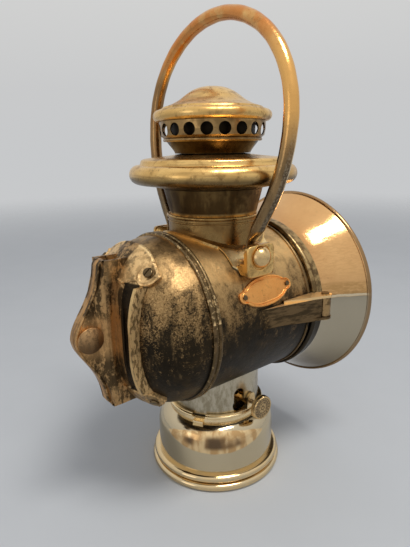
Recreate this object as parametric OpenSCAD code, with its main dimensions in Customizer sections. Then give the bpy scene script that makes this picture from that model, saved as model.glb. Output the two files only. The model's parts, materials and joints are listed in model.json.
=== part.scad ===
// Oil side lamp of an early motor car.
// +X is the way the light shines, +Z is up, and the origin is on the axis of the oil font,
// in the plane that the foot stands on. Lengths are in millimetres.

/* [Oil font] */
// Outer radius of the foot, over its lower bead
foot_r = 40; // [38:0.5:44]
// Radius of the rolled beads of the foot
foot_bead_r = 2.2; // [1.8:0.1:2.4]
// Outer radius of the font wall
font_r = 35.5; // [34:0.5:36]
// Height where the font wall turns into its shoulder
font_wall_h = 24; // [20:1:26]
// Height of the shoulder above the wall
shoulder_h = 14.5; // [12:0.5:16]
// Sheet thickness of the font
font_t = 1.0; // [0.8:0.1:1.4]
// Radius of the burner hole in the top of the font
burner_hole_r = 13; // [11:0.5:15]

/* [Bayonet neck] */
// Outer radius of the neck sleeve under the drum
neck_r = 26.4; // [25:0.2:28]
// Sheet thickness of the neck sleeve
neck_t = 0.9; // [0.8:0.1:1.2]
// Height of the bayonet ring above the font
ring_up = 3.7; // [3:0.1:4.5]
// Angle that the font turns between open and locked
bayonet_turn = 18; // [14:1:22]
// Number of bayonet lugs
bayonet_lugs = 3; // [2:1:4]
// Width of a bayonet lug
lug_w = 6; // [4:0.5:8]

/* [Burner] */
// Height of the wick spindle above the font
spindle_up = 7; // [5.5:0.5:8.5]
// Radius of the wick spindle
spindle_r = 1.2; // [1:0.1:1.5]
// Outer radius of the toothed wick wheels
wick_wheel_r = 3.3; // [3:0.1:3.4]
// Teeth on each wick wheel
wick_wheel_teeth = 12; // [8:1:16]
// Radius of the wick knob
knob_r = 6.8; // [6:0.2:8]
// Thickness of the wick knob
knob_t = 3; // [2.5:0.1:4]
// Distance of the knob's inner face from the neck sleeve
knob_out = 7.6; // [6:0.2:9]
// Width of the flat wick
wick_w = 16; // [12:1:18]
// Thickness of the flat wick
wick_t = 2; // [1.5:0.1:2.2]
// Depth of the wick's lower end under the font's top
wick_dip = 26.5; // [20:0.5:30]
// Depth of the wick's edge under the cap's top
wick_below = 3; // [2:0.5:5]
// Height of the burner above the font
burner_h = 54.5; // [50:0.5:58]
// Radius of the burner cap
burner_cap_r = 15; // [14:0.5:16]
// Radius of the burner's dish and pierced ring
dish_r = 20; // [18.5:0.5:22]
// Height of the burner's pierced ring
burner_ring_h = 13; // [10:0.5:15]

/* [Drum] */
// Height of the drum's axis
drum_z = 100; // [98:0.5:103]
// Outer radius of the drum
drum_r = 45; // [44:0.5:45.5]
// Sheet thickness of the drum
drum_t = 1.0; // [0.8:0.1:1.4]
// Front end of the drum
drum_front = 32.8; // [31:0.2:34]
// Distance of the seam between drum and dome behind the font axis
seam_back = 35.3; // [34:0.1:37]
// Length of the dome behind the seam, to its flat end
dome_l = 29.7; // [27:0.1:32]
// Length that the flat end cuts off the dome
dome_cut = 1.2; // [0.8:0.1:1.6]
// Fullness of the dome's curve
dome_power = 2.35; // [2:0.05:2.6]
// Radius of the reflector's rim
reflector_r = 37; // [34:0.5:39]
// Depth of the reflector
reflector_depth = 14; // [10:0.5:16]

/* [Chimney] */
// Outer radius of the chimney collar
collar_r = 25; // [24:0.2:26]
// Height of the collar's top above the drum's axis
collar_h = 54; // [52:0.5:58]
// Distance that the funnel widens beyond the collar
funnel_flare = 2.2; // [1:0.1:3]
// Height of the funnel above the collar
funnel_h = 13.4; // [12:0.2:15]
// Outer radius of the brim
brim_r = 45.4; // [43:0.2:45.8]
// Radius of the brim's fat rolled edge
brim_roll_r = 5; // [4.5:0.1:5.5]
// Height of the brim's rolled edge above the funnel
brim_up = 7.6; // [7:0.1:8.5]
// Outer radius of the pierced gallery
gallery_r = 28.3; // [27.5:0.1:29]
// Height of the middle of the gallery's holes above the brim's rolled edge
gallery_up = 22.4; // [21.5:0.1:24]
// Radius of the gallery's holes
gallery_hole_r = 3.1; // [2.5:0.1:3.4]
// Number of holes in the gallery
gallery_holes = 20; // [16:1:22]
// Distance that the cap's beaded rim stands out over the gallery
cap_over = 3.1; // [2.5:0.1:4]
// Radius of the cap's bead
cap_bead_r = 2.9; // [2.2:0.1:3.2]
// Height of the cap's top above the gallery's holes
cap_h = 21.9; // [19:0.1:25]
// Radius of the inner flue
flue_r = 17; // [15:0.5:18]
// Sheet thickness of the chimney
chimney_t = 0.9; // [0.7:0.1:1.2]

/* [Bail] */
// Radius of the bail's rod
bail_r = 3.5; // [3:0.1:4]
// Height of the bail's pivots above the drum's axis
bail_pivot_up = 35.8; // [35.6:0.1:36.6]
// Distance of the bail's pivots behind the font axis
bail_back = 4.5; // [3:0.1:6]
// Forward lean of the bail at rest, in degrees
bail_lean = 3.5; // [0:0.5:5]
// Height of the bail above its pivots, to the rod's middle
bail_h = 117.4; // [116:0.1:119.5]
// Radius of the bail's top bend
bail_top_bend = 57.5; // [56:0.5:60]
// Half angle of the bail's top bend
bail_top_half = 35; // [30:1:40]
// Gap between the bail's sides and the brim
bail_gap = 6.3; // [5.9:0.1:7.5]
// Radius of the bail's side bend
bail_side_bend = 82; // [80:1:84]
// Angle of the bail's side bend
bail_side_turn = 29; // [28:0.1:30]
// Radius of the bend above the bail's eye
bail_foot_bend = 5; // [4:0.5:6]
// Height of that bend above the pivots under a tall bail, where the sides run straight above it
bail_foot_up = 5.6; // [5:0.1:6.5]
// Distance of the bail's eyes inside the drum's sides
bail_eye_in = 9.9; // [9.6:0.1:10]
// Outer radius of the bail's eye
eye_r = 4; // [3.8:0.1:4.2]
// Thickness of the bail's eye
eye_t = 2.4; // [2:0.1:2.6]
// Thickness of the lug that holds the eye
lug_t = 5.4; // [4.8:0.1:5.8]
// Radius of the bail's pivot rivet
rivet_r = 1.9; // [1.6:0.1:2.1]
// Radius of the rivet's domed head
rivet_head_r = 5.7; // [5:0.1:6]

/* [Bell door] */
// Radius of the bell's rim, to the middle of its bead
bell_r = 59.3; // [57:0.1:61]
// Length of the bell in front of the drum
bell_l = 34.6; // [31:0.2:37]
// Fullness of the bell's flare
bell_power = 1.3; // [1.1:0.05:1.6]
// Sheet thickness of the bell
bell_t = 0.8; // [0.7:0.1:1.2]
// Radius of the bell's rim bead
bell_bead_r = 1.7; // [1.5:0.1:2]
// Distance that the door ring's bead stands out from the drum
door_bead_out = 2.4; // [2:0.1:3]
// Distance of the lens's edge inside the drum's surface
lens_in = 2; // [1.6:0.1:3]
// Thickness of the lens at its edge
lens_t = 2.5; // [2:0.1:3]
// Rise of the lens's curved front
lens_rise = 3.5; // [2:0.1:5]
// Distance of the hinge pin in front of the drum
hinge_ahead = 3.7; // [3.2:0.1:4.2]
// Distance of the hinge pin outside the drum's surface
hinge_out = 6.5; // [6:0.1:7]
// Radius of the hinge pin
hinge_pin_r = 1.5; // [1.2:0.1:1.8]
// Outer radius of the hinge barrel
hinge_barrel_r = 3.2; // [3:0.1:3.3]
// Height of the hinge arm's block
arm_h = 11; // [9:0.5:12]
// Height of the hinge arm's middle above the drum's axis
arm_up = 3.5; // [2:0.5:4]

/* [Bracket] */
// Distance of the fin's point behind the dome
fin_l = 22.6; // [21:0.2:25]
// Distance of the fin's ends behind the dome
fin_end_l = 8; // [7.6:0.1:9]
// Half height of the bracket
fin_half_h = 38; // [35:0.5:40]
// Spread of the fin's curve
fin_spread = 18; // [15:0.5:20]
// Thickness of the copper core between the cheeks
core_t = 3.2; // [3:0.1:4]
// Thickness of a cheek
cheek_t = 1.8; // [1.5:0.1:2.2]
// Inner width of the vertical socket
socket_w = 9; // [8:0.5:11]
// Inner length of the vertical socket, from the core to the back plate
socket_l = 5.4; // [5:0.1:5.6]
// Thickness of the back plate
back_t = 1.6; // [1.2:0.1:2]
// Radius of the clamp bolt
clamp_r = 2.5; // [2:0.1:3]
// Radius of the clamp bolt's domed head
clamp_head_r = 5.7; // [5:0.1:5.8]

/* [Nameplate] */
// Length of the nameplate
plate_l = 37; // [34:0.5:40]
// Height of the nameplate
plate_h = 15.5; // [13:0.5:17]
// Thickness of the nameplate
plate_t = 0.8; // [0.6:0.1:1.2]

/* [Clearances] */
// Gap between sheet pieces that move past each other
run_gap = 0.3; // [0.2:0.05:0.4]
// Radial gap of a pin that turns in its bore
pin_gap = 0.05; // [0.02:0.01:0.1]
// Radial gap of a piece that is fixed in its hole
fix_gap = 0.02; // [0.01:0.01:0.05]

/* [Hidden] */

nickel = "#b9b6ac";
brass = "#b08a4a";
aged_brass = "#8d7444";
black_brass = "#3b342a";
copper = "#b8703c";
glass = "#cfe0e4";
steel = "#8c8c8c";

round_fn = 96;
small_fn = 48;
// A length that reaches past whatever is cut
far = 200;

// Foot and font
foot_bead_mid = foot_r - foot_bead_r;
upper_bead_mid = foot_bead_mid - 1.1;
upper_bead_z = foot_bead_r * 3.1;
foot_top = upper_bead_z + foot_bead_r;
base_t = 1.2;
neck_seat_r = 18;
shoulder_power = 2.4;
font_top = font_wall_h + shoulder_h;

// Neck, whose sleeve stands in the bayonet ring
bayonet_top = font_top + ring_up;
sleeve_z = font_top + 0.4;
ring_in = neck_r + run_gap;
neck_lug_r = neck_r + 0.8;
groove_r = neck_lug_r + run_gap;
lug_z = sleeve_z + 0.3;
lug_h = 1.2;
lip_z = lug_z + lug_h + run_gap;
ring_bead_r = 0.9;
ring_wall_r = groove_r + 0.6;
ring_bead_mid = ring_wall_r;
// Angles from +X: the side where the knob stands is -90
notch_angle = -149;
lug_angle = notch_angle - bayonet_turn;
notch_w = lug_w + 2;
tab_w = 6;
tab_h = 4;
window_angle = -98;
window_w = 7;
window_top = drum_z - drum_r + 1;
bush_tube_r = 2.6;

// Burner
wick_grip = 0.2;
spindle_x = wick_t / 2 + wick_wheel_r + wick_grip;
spindle_z = font_top + spindle_up;
spindle_angle = -90 + asin(spindle_x / neck_r);
knob_y = neck_r + knob_out;
burner_cap_top = font_top + burner_h;
wick_top = burner_cap_top - wick_below;
collar_fit_r = burner_hole_r;
collar_ring_t = 1.6;
plug_r = collar_fit_r - collar_ring_t;
dish_z = font_top + 1.1;
dish_t = 1.4;
burner_gallery_top = dish_z + dish_t + burner_ring_h;
wick_room = 0.7;
tube_wall = 0.8;
tube_w = wick_w + 2 * (wick_room + tube_wall);
tube_t = wick_t + 2 * (wick_room + tube_wall);
wick_bottom = font_top - wick_dip;
tube_dip = 8.5;
wick_tube_bottom = font_top - tube_dip;
wick_bare = 4;
wick_tube_top = wick_top - wick_bare;
wick_wheel_y = wick_w / 4;
wick_wheel_w = 3;
burner_dome_h = 11;
cap_shoulder_z = burner_cap_top - burner_dome_h;

// Drum and dome
seam_lap = 1.8;
barrel_back = seam_back - seam_lap;
dome_back = seam_back + dome_l;
dome_depth = dome_l + dome_cut;
chimney_hole_r = collar_r - 1.5;
dome_pole_r = 10;
reflector_gap = 3.3;
reflector_back = seam_back - reflector_gap;
reflector_t = 0.8;
reflector_lip = 2;
clip_t = 1.2;
clip_w = 6;
clip_l = 6;
front_ring_l = 4.5;

// Saddle and chimney
collar_top = drum_z + collar_h;
funnel_r = collar_r + funnel_flare;
funnel_top = collar_top + funnel_h;
brim_z = funnel_top + brim_up;
gallery_z = brim_z + gallery_up;
cap_r = gallery_r + cap_over;
cap_top = gallery_z + cap_h;
saddle_t = 1.2;
saddle_r = drum_r + saddle_t;
saddle_rim = 3.5;
lobe_half_w = 15.5;
lobe_reach = drum_r - 7.4;
funnel_seat = 5;
collar_bead_r = 1.0;
roll_mid = brim_r - brim_roll_r;
brim_top_z = brim_z + 8.6;
bowl_z = brim_z + 10.5;
bowl_top = gallery_z - 4.1;
gallery_foot_r = gallery_r - 2.2;
gallery_t = 0.8;
gallery_top = gallery_z + 4.2;
flue_top = gallery_z - gallery_hole_r - 3.3;
cap_rim_z = gallery_top + 0.1;
cap_bead_z = cap_rim_z + cap_bead_r;
baffle_z = cap_rim_z + 1.3;
baffle_r = flue_r + 3;
baffle_t = 0.8;

// Bail: centres of its bends as [y, z], and where its legs come down
function dir(a) = [sin(a), cos(a)];
bail_pivot_z = drum_z + bail_pivot_up;
bail_half_w = brim_r + bail_gap + bail_r;
top_mid = [0, bail_pivot_z + bail_h - bail_top_bend];
shoulder_bend = (bail_half_w - bail_top_bend * sin(bail_top_half)) / (1 - sin(bail_top_half));
shoulder_mid = top_mid + (bail_top_bend - shoulder_bend) * dir(bail_top_half);
leg_y = drum_r - bail_eye_in;
// A tall bail has straight sides between shoulder and side bend. Under a low shoulder the side bend
// is only as large as the height above the lowest place of the bend over the eye lets it be
side_in = bail_half_w - leg_y - bail_foot_bend;
side_slant = bail_foot_bend + side_in * cos(bail_side_turn);
foot_low = bail_pivot_z + 4.8;
side_mid_z = min(shoulder_mid[1], bail_pivot_z + bail_foot_up
    + (bail_side_bend * (1 - cos(bail_side_turn)) + side_slant) / sin(bail_side_turn));
side_bend = min(bail_side_bend,
    ((side_mid_z - foot_low) * sin(bail_side_turn) - side_slant) / (1 - cos(bail_side_turn)));
side_mid = [bail_half_w - side_bend, side_mid_z];
// The straight run from the side bend down to the bend above the eye
side_end = side_mid + (side_bend + bail_foot_bend) * dir(90 + bail_side_turn);
bail_run = (side_end[0] - bail_foot_bend - leg_y) / sin(bail_side_turn);
foot_mid = side_end + bail_run * dir(180 + bail_side_turn);
eye_in = leg_y - eye_t / 2;
eye_out = leg_y + eye_t / 2;
// Heights where the rod is flat like its eye and where it is round again
rod_flat_z = bail_pivot_z + eye_r + 2.6;
rod_round_z = rod_flat_z + 8.8;
lug_in = eye_out + run_gap;
lug_out = lug_in + lug_t;
lug_half_w = 9;
lug_top_z = bail_pivot_z + 6;
lug_foot_z = drum_z + sqrt(pow(saddle_r, 2) - pow(lobe_reach, 2)) - 0.4;
rivet_in = eye_in - run_gap;
rivet_foot_t = 0.9;
rivet_head_h = 5;

// Door
door_back = drum_front + run_gap;
door_bead_r = drum_r + door_bead_out;
lens_r = drum_r - lens_in;
hinge_x = drum_front + hinge_ahead;
hinge_y = drum_r + hinge_out;
bell_front = drum_front + bell_l;
door_bead_minor = 1.6;
door_bead_x = door_back + 2.4;
door_wall_r = door_bead_r - 1.5;
lens_seat_x = door_back + 2.7;
lens_bore_r = lens_r + 0.3;
gasket_t = 0.8;
lens_x = lens_seat_x + gasket_t;
retainer_x = lens_x + lens_t;
retainer_t = 1.6;
door_front = retainer_x + retainer_t + 0.4;
bell_root_r = door_wall_r + bell_t;
bell_root_back = door_bead_x + door_bead_minor;
bell_flare_x = door_front + 0.4;
arm_z = drum_z + arm_up;
strap_t = 1.4;
strap_r = hinge_barrel_r + 0.4;
arm_back = 8;
arm_front = hinge_x - hinge_barrel_r - 0.8;
catch_x = door_bead_x + door_bead_minor + 1.6;
catch_y = door_bead_r + 1.2;

// Bracket
fin_back = dome_back + fin_l;
fin_root = dome_back + fin_end_l;
fin_half_t = core_t / 2 + cheek_t;
clamp_back = fin_back - 6.6;
plate_back = dome_back + back_t;
socket_back = plate_back + socket_l;
bulge_y = socket_w / 2 + cheek_t;
ear_out_r = drum_r - 4.7;
ear_in_r = drum_r - 17;
ear_end_r = 5.8;
ear_screw_angle = 32.6;
ear_screw_r = drum_r - 7.5;
ear_screw_x = dome_x(ear_screw_r) - 0.23;
screw_head_r = 2.4;
plate_half_w = 22.5;
plate_half_h = drum_r - 17;
flange_w = 7.2;
flange_t = 1.5;
plate_angle = 67.2;
plate_tilt = 3;

// Frames and shared shapes
module about_drum() {
    translate([0, 0, drum_z]) rotate([0, 90, 0]) children();
}

module drum_turn() {
    about_drum() rotate_extrude($fn = round_fn) children();
}

module upright_turn() {
    rotate_extrude($fn = round_fn) children();
}

module drum_core(r) {
    translate([-far / 2, 0, 0]) about_drum() cylinder(r = r, h = far, $fn = round_fn);
}

// Local z stands out of the drum's side, at the angle a from its top towards the near side
module on_drum(a) {
    translate([0, 0, drum_z]) rotate([a, 0, 0]) children();
}

module around_z(a) {
    rotate([0, 0, a]) children();
}

module ring_profile(r_in, r_out, z0, z1) {
    polygon([[r_in, z0], [r_out, z0], [r_out, z1], [r_in, z1]]);
}

function arc_points(c, r, a0, a1, n) =
    [for (i = [0:n]) c + r * [cos(a0 + (a1 - a0) * i / n), sin(a0 + (a1 - a0) * i / n)]];

function reversed(v) = [for (i = [len(v) - 1:-1:0]) v[i]];

// Oil font
function shoulder_points(r, h, n = 14) =
    [for (i = [0:n])
        let (a = 90 * i / n)
        [neck_seat_r + (r - neck_seat_r) * pow(cos(a), 2 / shoulder_power),
         font_wall_h + h * pow(sin(a), 2 / shoulder_power)]];

module font_solid_profile() {
    polygon(concat([[0, foot_top], [font_r, foot_top]],
        shoulder_points(font_r, shoulder_h), [[0, font_top]]));
}

module font_shell() {
    color(nickel) upright_turn()
        polygon(concat([[font_r, base_t]],
            shoulder_points(font_r, shoulder_h),
            [[burner_hole_r, font_top], [burner_hole_r, font_top - font_t]],
            reversed(shoulder_points(font_r - font_t, shoulder_h - font_t)),
            [[font_r - font_t, base_t]]));
}

module font_base() {
    color(nickel) cylinder(r = font_r, h = base_t, $fn = round_fn);
}

module foot_ring() {
    color(nickel) upright_turn() {
        difference() {
            union() {
                ring_profile(font_r, foot_bead_mid, 0, 2 * foot_bead_r);
                ring_profile(font_r, upper_bead_mid, foot_bead_r, foot_top);
                translate([foot_bead_mid, foot_bead_r]) circle(r = foot_bead_r, $fn = small_fn);
                translate([upper_bead_mid, upper_bead_z]) circle(r = foot_bead_r, $fn = small_fn);
            }
            translate([0, -far]) square([font_r, 2 * far]);
        }
    }
}

module bayonet_notch(w) {
    translate([neck_r - 1, -w / 2, 0]) cube([6, w, far]);
}

module bayonet_ring() {
    color(brass) difference() {
        union() {
            upright_turn() difference() {
                union() {
                    ring_profile(ring_in, ring_wall_r, font_wall_h + 4, bayonet_top);
                    translate([ring_bead_mid, lip_z]) circle(r = ring_bead_r, $fn = small_fn);
                }
                ring_profile(0, groove_r, sleeve_z - run_gap, lip_z);
                font_solid_profile();
            }
            around_z(notch_angle) difference() {
                translate([ring_wall_r - 0.5, -tab_w / 2, font_top - tab_h]) cube([2.4, tab_w, tab_h + 0.2]);
                around_z(-notch_angle) upright_turn() font_solid_profile();
            }
        }
        for (i = [0:bayonet_lugs - 1]) around_z(notch_angle + 360 * i / bayonet_lugs)
            translate([0, 0, lip_z - 0.1]) bayonet_notch(notch_w);
    }
}

module burner_collar() {
    color(brass) upright_turn() {
        ring_profile(plug_r + fix_gap, burner_hole_r - fix_gap, font_top - 5, font_top + 0.6);
        ring_profile(burner_hole_r - fix_gap, burner_hole_r + 3, font_top, font_top + 0.6);
    }
}

// Burner
module wick_channel(extra) {
    translate([-tube_t / 2 - extra, -tube_w / 2 - extra, 0])
        cube([tube_t + 2 * extra, tube_w + 2 * extra, far]);
}

module spindle_line(r, y0, y1) {
    translate([spindle_x, y0, spindle_z]) rotate([-90, 0, 0]) cylinder(r = r, h = y1 - y0, $fn = small_fn);
}

module burner_body() {
    color(brass) difference() {
        union() {
            translate([0, 0, font_top - 6]) cylinder(r = plug_r, h = 6.7, $fn = round_fn);
            translate([0, 0, font_top + 0.6]) cylinder(r = dish_r, h = dish_z + dish_t - font_top - 0.6,
                $fn = round_fn);
            spindle_line(bush_tube_r, -neck_r - run_gap - 0.2, -tube_w / 2 - 1);
            translate([spindle_x - 2, -tube_w / 2 - 3.5, dish_z + dish_t - 0.1]) cube([4, 2.5, 4]);
        }
        wick_channel(fix_gap);
        spindle_line(spindle_r + pin_gap, -far, far);
        translate([0, -wick_wheel_y - wick_wheel_w, dish_z - 3])
            cube([spindle_x + wick_wheel_r + 1, 2 * (wick_wheel_y + wick_wheel_w), 12]);
    }
}

module burner_gallery() {
    hole_count = 14;
    color(brass) difference() {
        upright_turn() ring_profile(dish_r - 0.8, dish_r, dish_z + dish_t, burner_gallery_top);
        for (i = [0:hole_count - 1]) around_z(360 * (i + 0.5) / hole_count)
            translate([dish_r - 4, 0, burner_gallery_top - 4]) rotate([0, 90, 0])
                cylinder(r = 1.8, h = 8, $fn = 24);
        spindle_line(bush_tube_r + fix_gap, -neck_r, -dish_r + 4);
    }
}

module wick_tube() {
    color(brass) difference() {
        translate([0, 0, wick_tube_bottom]) intersection() {
            wick_channel(0);
            cylinder(r = far, h = wick_tube_top - wick_tube_bottom);
        }
        translate([-wick_t / 2 - wick_room, -wick_w / 2 - wick_room, 0])
            cube([wick_t + 2 * wick_room, wick_w + 2 * wick_room, far]);
        translate([wick_t / 2, -wick_wheel_y - wick_wheel_w, spindle_z - wick_wheel_r - 1])
            cube([far, 2 * (wick_wheel_y + wick_wheel_w), 2 * wick_wheel_r + 2]);
    }
}

function cap_curve(r, h, z) =
    [for (i = [0:10]) let (a = 90 * i / 10) [3 + (r - 3) * cos(a), z + h * sin(a)]];

module burner_cap() {
    t = 0.7;
    color(brass) difference() {
        upright_turn() {
            polygon(concat(
                [[burner_cap_r - t, burner_gallery_top], [dish_r - 0.8 - fix_gap, burner_gallery_top],
                 [dish_r - 0.8 - fix_gap, burner_gallery_top - 2], [dish_r, burner_gallery_top - 2],
                 [dish_r, burner_gallery_top], [dish_r, burner_gallery_top + t],
                 [burner_cap_r, burner_gallery_top + t]],
                cap_curve(burner_cap_r, burner_cap_top - cap_shoulder_z, cap_shoulder_z),
                [[0, burner_cap_top], [0, burner_cap_top - t]],
                reversed(cap_curve(burner_cap_r - t, burner_cap_top - cap_shoulder_z - t, cap_shoulder_z))));
        }
        translate([-3.5, -wick_w / 2 - 2.5, cap_shoulder_z]) cube([7, wick_w + 5, far]);
        upright_turn() ring_profile(dish_r - 0.8, far, burner_gallery_top - far, burner_gallery_top);
    }
}

module spindle_bush() {
    w = 7;
    color(brass) difference() {
        intersection() {
            upright_turn() ring_profile(neck_r + run_gap + 0.1, neck_r + 1.8, bayonet_top, spindle_z + 8);
            union() {
                translate([spindle_x - w / 2, -far, bayonet_top + 0.2])
                    cube([w, far, spindle_z - bayonet_top + 1.8]);
                translate([spindle_x, 0, spindle_z + 2]) rotate([90, 0, 0])
                    cylinder(r = w / 2, h = far, $fn = small_fn);
            }
        }
        spindle_line(bush_tube_r + fix_gap, -neck_r - run_gap - 0.2, 0);
        spindle_line(spindle_r + pin_gap, -far, far);
    }
}

module wick() {
    color("#e9e2cf") translate([-wick_t / 2, -wick_w / 2, wick_bottom])
        cube([wick_t, wick_w, wick_top - wick_bottom]);
}

module wick_wheel() {
    for (i = [0:wick_wheel_teeth - 1]) rotate([0, 0, 360 * (i + 0.5) / wick_wheel_teeth])
        translate([0, -0.4, 0]) cube([wick_wheel_r, 0.8, wick_wheel_w]);
    cylinder(r = wick_wheel_r - 0.8, h = wick_wheel_w, $fn = small_fn);
}

module wick_spindle() {
    color(steel) {
        spindle_line(spindle_r, -knob_y - knob_t + 0.6, wick_wheel_y + wick_wheel_w);
        for (side = [-1, 1])
            translate([spindle_x, side * wick_wheel_y - wick_wheel_w / 2, spindle_z])
                rotate([-90, 0, 0]) wick_wheel();
    }
}

module wick_knob() {
    dots = 18;
    color(brass) translate([spindle_x, -knob_y, spindle_z]) rotate([90, 0, 0]) difference() {
        union() {
            cylinder(r = 2.6, h = knob_t, $fn = small_fn);
            translate([0, 0, -2]) cylinder(r = 2.6, h = 2.2, $fn = small_fn);
            difference() {
                cylinder(r = knob_r, h = knob_t, $fn = small_fn);
                translate([0, 0, knob_t - 0.5]) cylinder(r = knob_r - 1, h = 1, $fn = small_fn);
            }
            for (i = [0:dots - 1]) rotate([0, 0, 360 * i / dots])
                translate([knob_r - 2, 0, knob_t - 0.6]) cylinder(r = 0.45, h = 0.5, $fn = 16);
        }
        translate([0, 0, -far]) cylinder(r = spindle_r + fix_gap, h = far + knob_t - 0.6, $fn = small_fn);
    }
}

// Neck
module sleeve_window() {
    reach = bush_tube_r + run_gap;
    span = bayonet_turn + 2;
    around_z(window_angle + 90) {
        translate([-window_w / 2, -far, 0]) cube([window_w, far, window_top - window_w / 2]);
        translate([0, 0, window_top - window_w / 2]) rotate([90, 0, 0])
            cylinder(r = window_w / 2, h = far, $fn = small_fn);
    }
    for (i = [0:4]) around_z(spindle_angle + 90 - span * i / 4)
        translate([0, 0, spindle_z]) rotate([90, 0, 0]) translate([0, 0, 5])
            cylinder(r = reach + 0.4, h = far, $fn = small_fn);
    around_z(spindle_angle + 90 - span / 2)
        translate([-span / 2 * neck_r * 3.1416 / 180, -far, spindle_z - reach - 0.4])
            cube([span * neck_r * 3.1416 / 180, far - 5, 2 * reach + 0.8]);
}

module neck_sleeve() {
    color(nickel) {
        difference() {
            upright_turn() ring_profile(neck_r - neck_t, neck_r, sleeve_z, drum_z);
            drum_core(drum_r);
            sleeve_window();
        }
        for (i = [0:bayonet_lugs - 1]) around_z(lug_angle + 360 * i / bayonet_lugs)
            intersection() {
                upright_turn() ring_profile(neck_r - 0.3, neck_lug_r, lug_z, lug_z + lug_h);
                translate([0, -lug_w / 2, 0]) cube([far, lug_w, far]);
            }
    }
}

// Drum
module drum_barrel() {
    color(black_brass) difference() {
        drum_turn() {
            ring_profile(drum_r - drum_t, drum_r, -barrel_back, drum_front);
            translate([drum_r, drum_front - 1.4]) circle(r = 0.9, $fn = small_fn);
        }
        cylinder(r = neck_r - neck_t, h = drum_z, $fn = round_fn);
        translate([0, 0, drum_z]) cylinder(r = chimney_hole_r, h = far, $fn = round_fn);
    }
}

// How far back the dome reaches at the radius r
function dome_x(r) = seam_back + dome_depth
    * pow(1 - pow((r - dome_pole_r) / (drum_r - dome_pole_r), dome_power), 1 / dome_power);

// The dome's outline grown by o, from the seam to its flat end
function dome_points(o, n = 16) =
    let (depth = dome_depth + o)
    let (last = (dome_back + o - seam_back) / depth)
    [for (i = [0:n])
        let (s = sin(90 * i / n) * last)
        [dome_pole_r + (drum_r + o - dome_pole_r) * pow(1 - pow(s, dome_power), 1 / dome_power),
         -seam_back - depth * s]];

module dome_solid(o) {
    drum_turn() polygon(concat([[0, -barrel_back + 0.01], [drum_r + o, -barrel_back + 0.01]], dome_points(o),
        [[0, -dome_back - o]]));
}

module rear_dome() {
    color(black_brass) drum_turn()
        polygon(concat([[drum_r - drum_t, -barrel_back], [drum_r, -barrel_back]], dome_points(0),
            [[0, -dome_back], [0, -dome_back + drum_t]], reversed(dome_points(-drum_t))));
}

module seam_band() {
    bead = 1.0;
    lead = 1.6;
    color(black_brass) drum_turn() {
        difference() {
            union() {
                ring_profile(drum_r, drum_r + 0.7, -seam_back - 2.6, -seam_back + 3);
                translate([drum_r + 0.5, -seam_back - lead]) circle(r = bead, $fn = small_fn);
                translate([drum_r + 0.5, -seam_back + lead]) circle(r = bead, $fn = small_fn);
            }
            ring_profile(0, drum_r, -far, far);
        }
    }
}

module front_ring() {
    color(black_brass) drum_turn()
        ring_profile(drum_r - drum_t - 1.4, drum_r - drum_t, drum_front - front_ring_l, drum_front);
}

function reflector_points(o, n = 12) =
    [for (i = [0:n]) let (r = reflector_r * i / n)
        [r, -reflector_back + o + reflector_depth * pow(r / reflector_r, 2)]];

module reflector() {
    rim_x = -reflector_back + reflector_depth;
    color(nickel) drum_turn()
        polygon(concat(reflector_points(0),
            [[reflector_r + reflector_lip, rim_x], [reflector_r + reflector_lip, rim_x + reflector_t],
             [reflector_r, rim_x + reflector_t]],
            reversed(reflector_points(reflector_t))));
}

module reflector_clips() {
    rim_x = -reflector_back + reflector_depth;
    color(steel) for (a = [-125, -45, 45, 125]) on_drum(a)
        translate([rim_x - clip_t, -clip_w / 2, reflector_r + 0.2]) difference() {
            cube([clip_l, clip_w, drum_r - drum_t - reflector_r - 0.4]);
            translate([clip_t - fix_gap, -1, -1])
                cube([reflector_t + 2 * fix_gap, clip_w + 2, reflector_lip + 0.8 + fix_gap]);
            translate([2 * clip_t + reflector_t, -1, -1]) cube([clip_l, clip_w + 2, reflector_lip + 2]);
        }
}

// Saddle and chimney
module saddle_outline() {
    w = lobe_half_w;
    out = lobe_reach;
    lobe = [[-1.1 * w, out - 17.6], [-w, out - 10.6], [-w, out - 4], [-0.6 * w, out], [0.6 * w, out],
        [0.84 * w, out - 3.4], [1.03 * w, out - 9.6], [1.16 * w, out - 17.6]];
    circle(r = collar_r + saddle_rim, $fn = round_fn);
    polygon(concat([for (p = lobe) [p[0], -p[1]]], reversed(lobe)));
}

module saddle_plate() {
    color(aged_brass) difference() {
        intersection() {
            drum_turn() ring_profile(drum_r, saddle_r, -collar_r - saddle_rim, collar_r + saddle_rim);
            translate([0, 0, drum_z]) linear_extrude(far) saddle_outline();
        }
        translate([0, 0, drum_z]) cylinder(r = chimney_hole_r, h = far, $fn = round_fn);
    }
}

module chimney_collar() {
    color(aged_brass) difference() {
        upright_turn() {
            ring_profile(collar_r - 1, collar_r, drum_z, collar_top);
            difference() {
                union() {
                    translate([collar_r, collar_top - collar_bead_r]) circle(r = collar_bead_r, $fn = small_fn);
                    translate([collar_r, collar_top - 3.6]) circle(r = 0.5, $fn = small_fn);
                }
                ring_profile(0, collar_r - 0.5, 0, far);
            }
        }
        drum_core(saddle_r);
    }
}

module inner_flue() {
    flange_z = collar_top - funnel_seat + 1;
    color(aged_brass) upright_turn() {
        ring_profile(flue_r - 0.8, flue_r, flange_z - 6, flue_top);
        ring_profile(flue_r, collar_r - 1 - fix_gap - chimney_t - fix_gap, flange_z, flange_z + 0.8);
    }
}

module funnel() {
    seat_r = collar_r - 1 - fix_gap;
    color(aged_brass) upright_turn()
        polygon([[seat_r, collar_top - funnel_seat], [seat_r, collar_top], [funnel_r, funnel_top],
            [funnel_r - chimney_t, funnel_top], [seat_r - chimney_t, collar_top],
            [seat_r - chimney_t, collar_top - funnel_seat]]);
}

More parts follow.
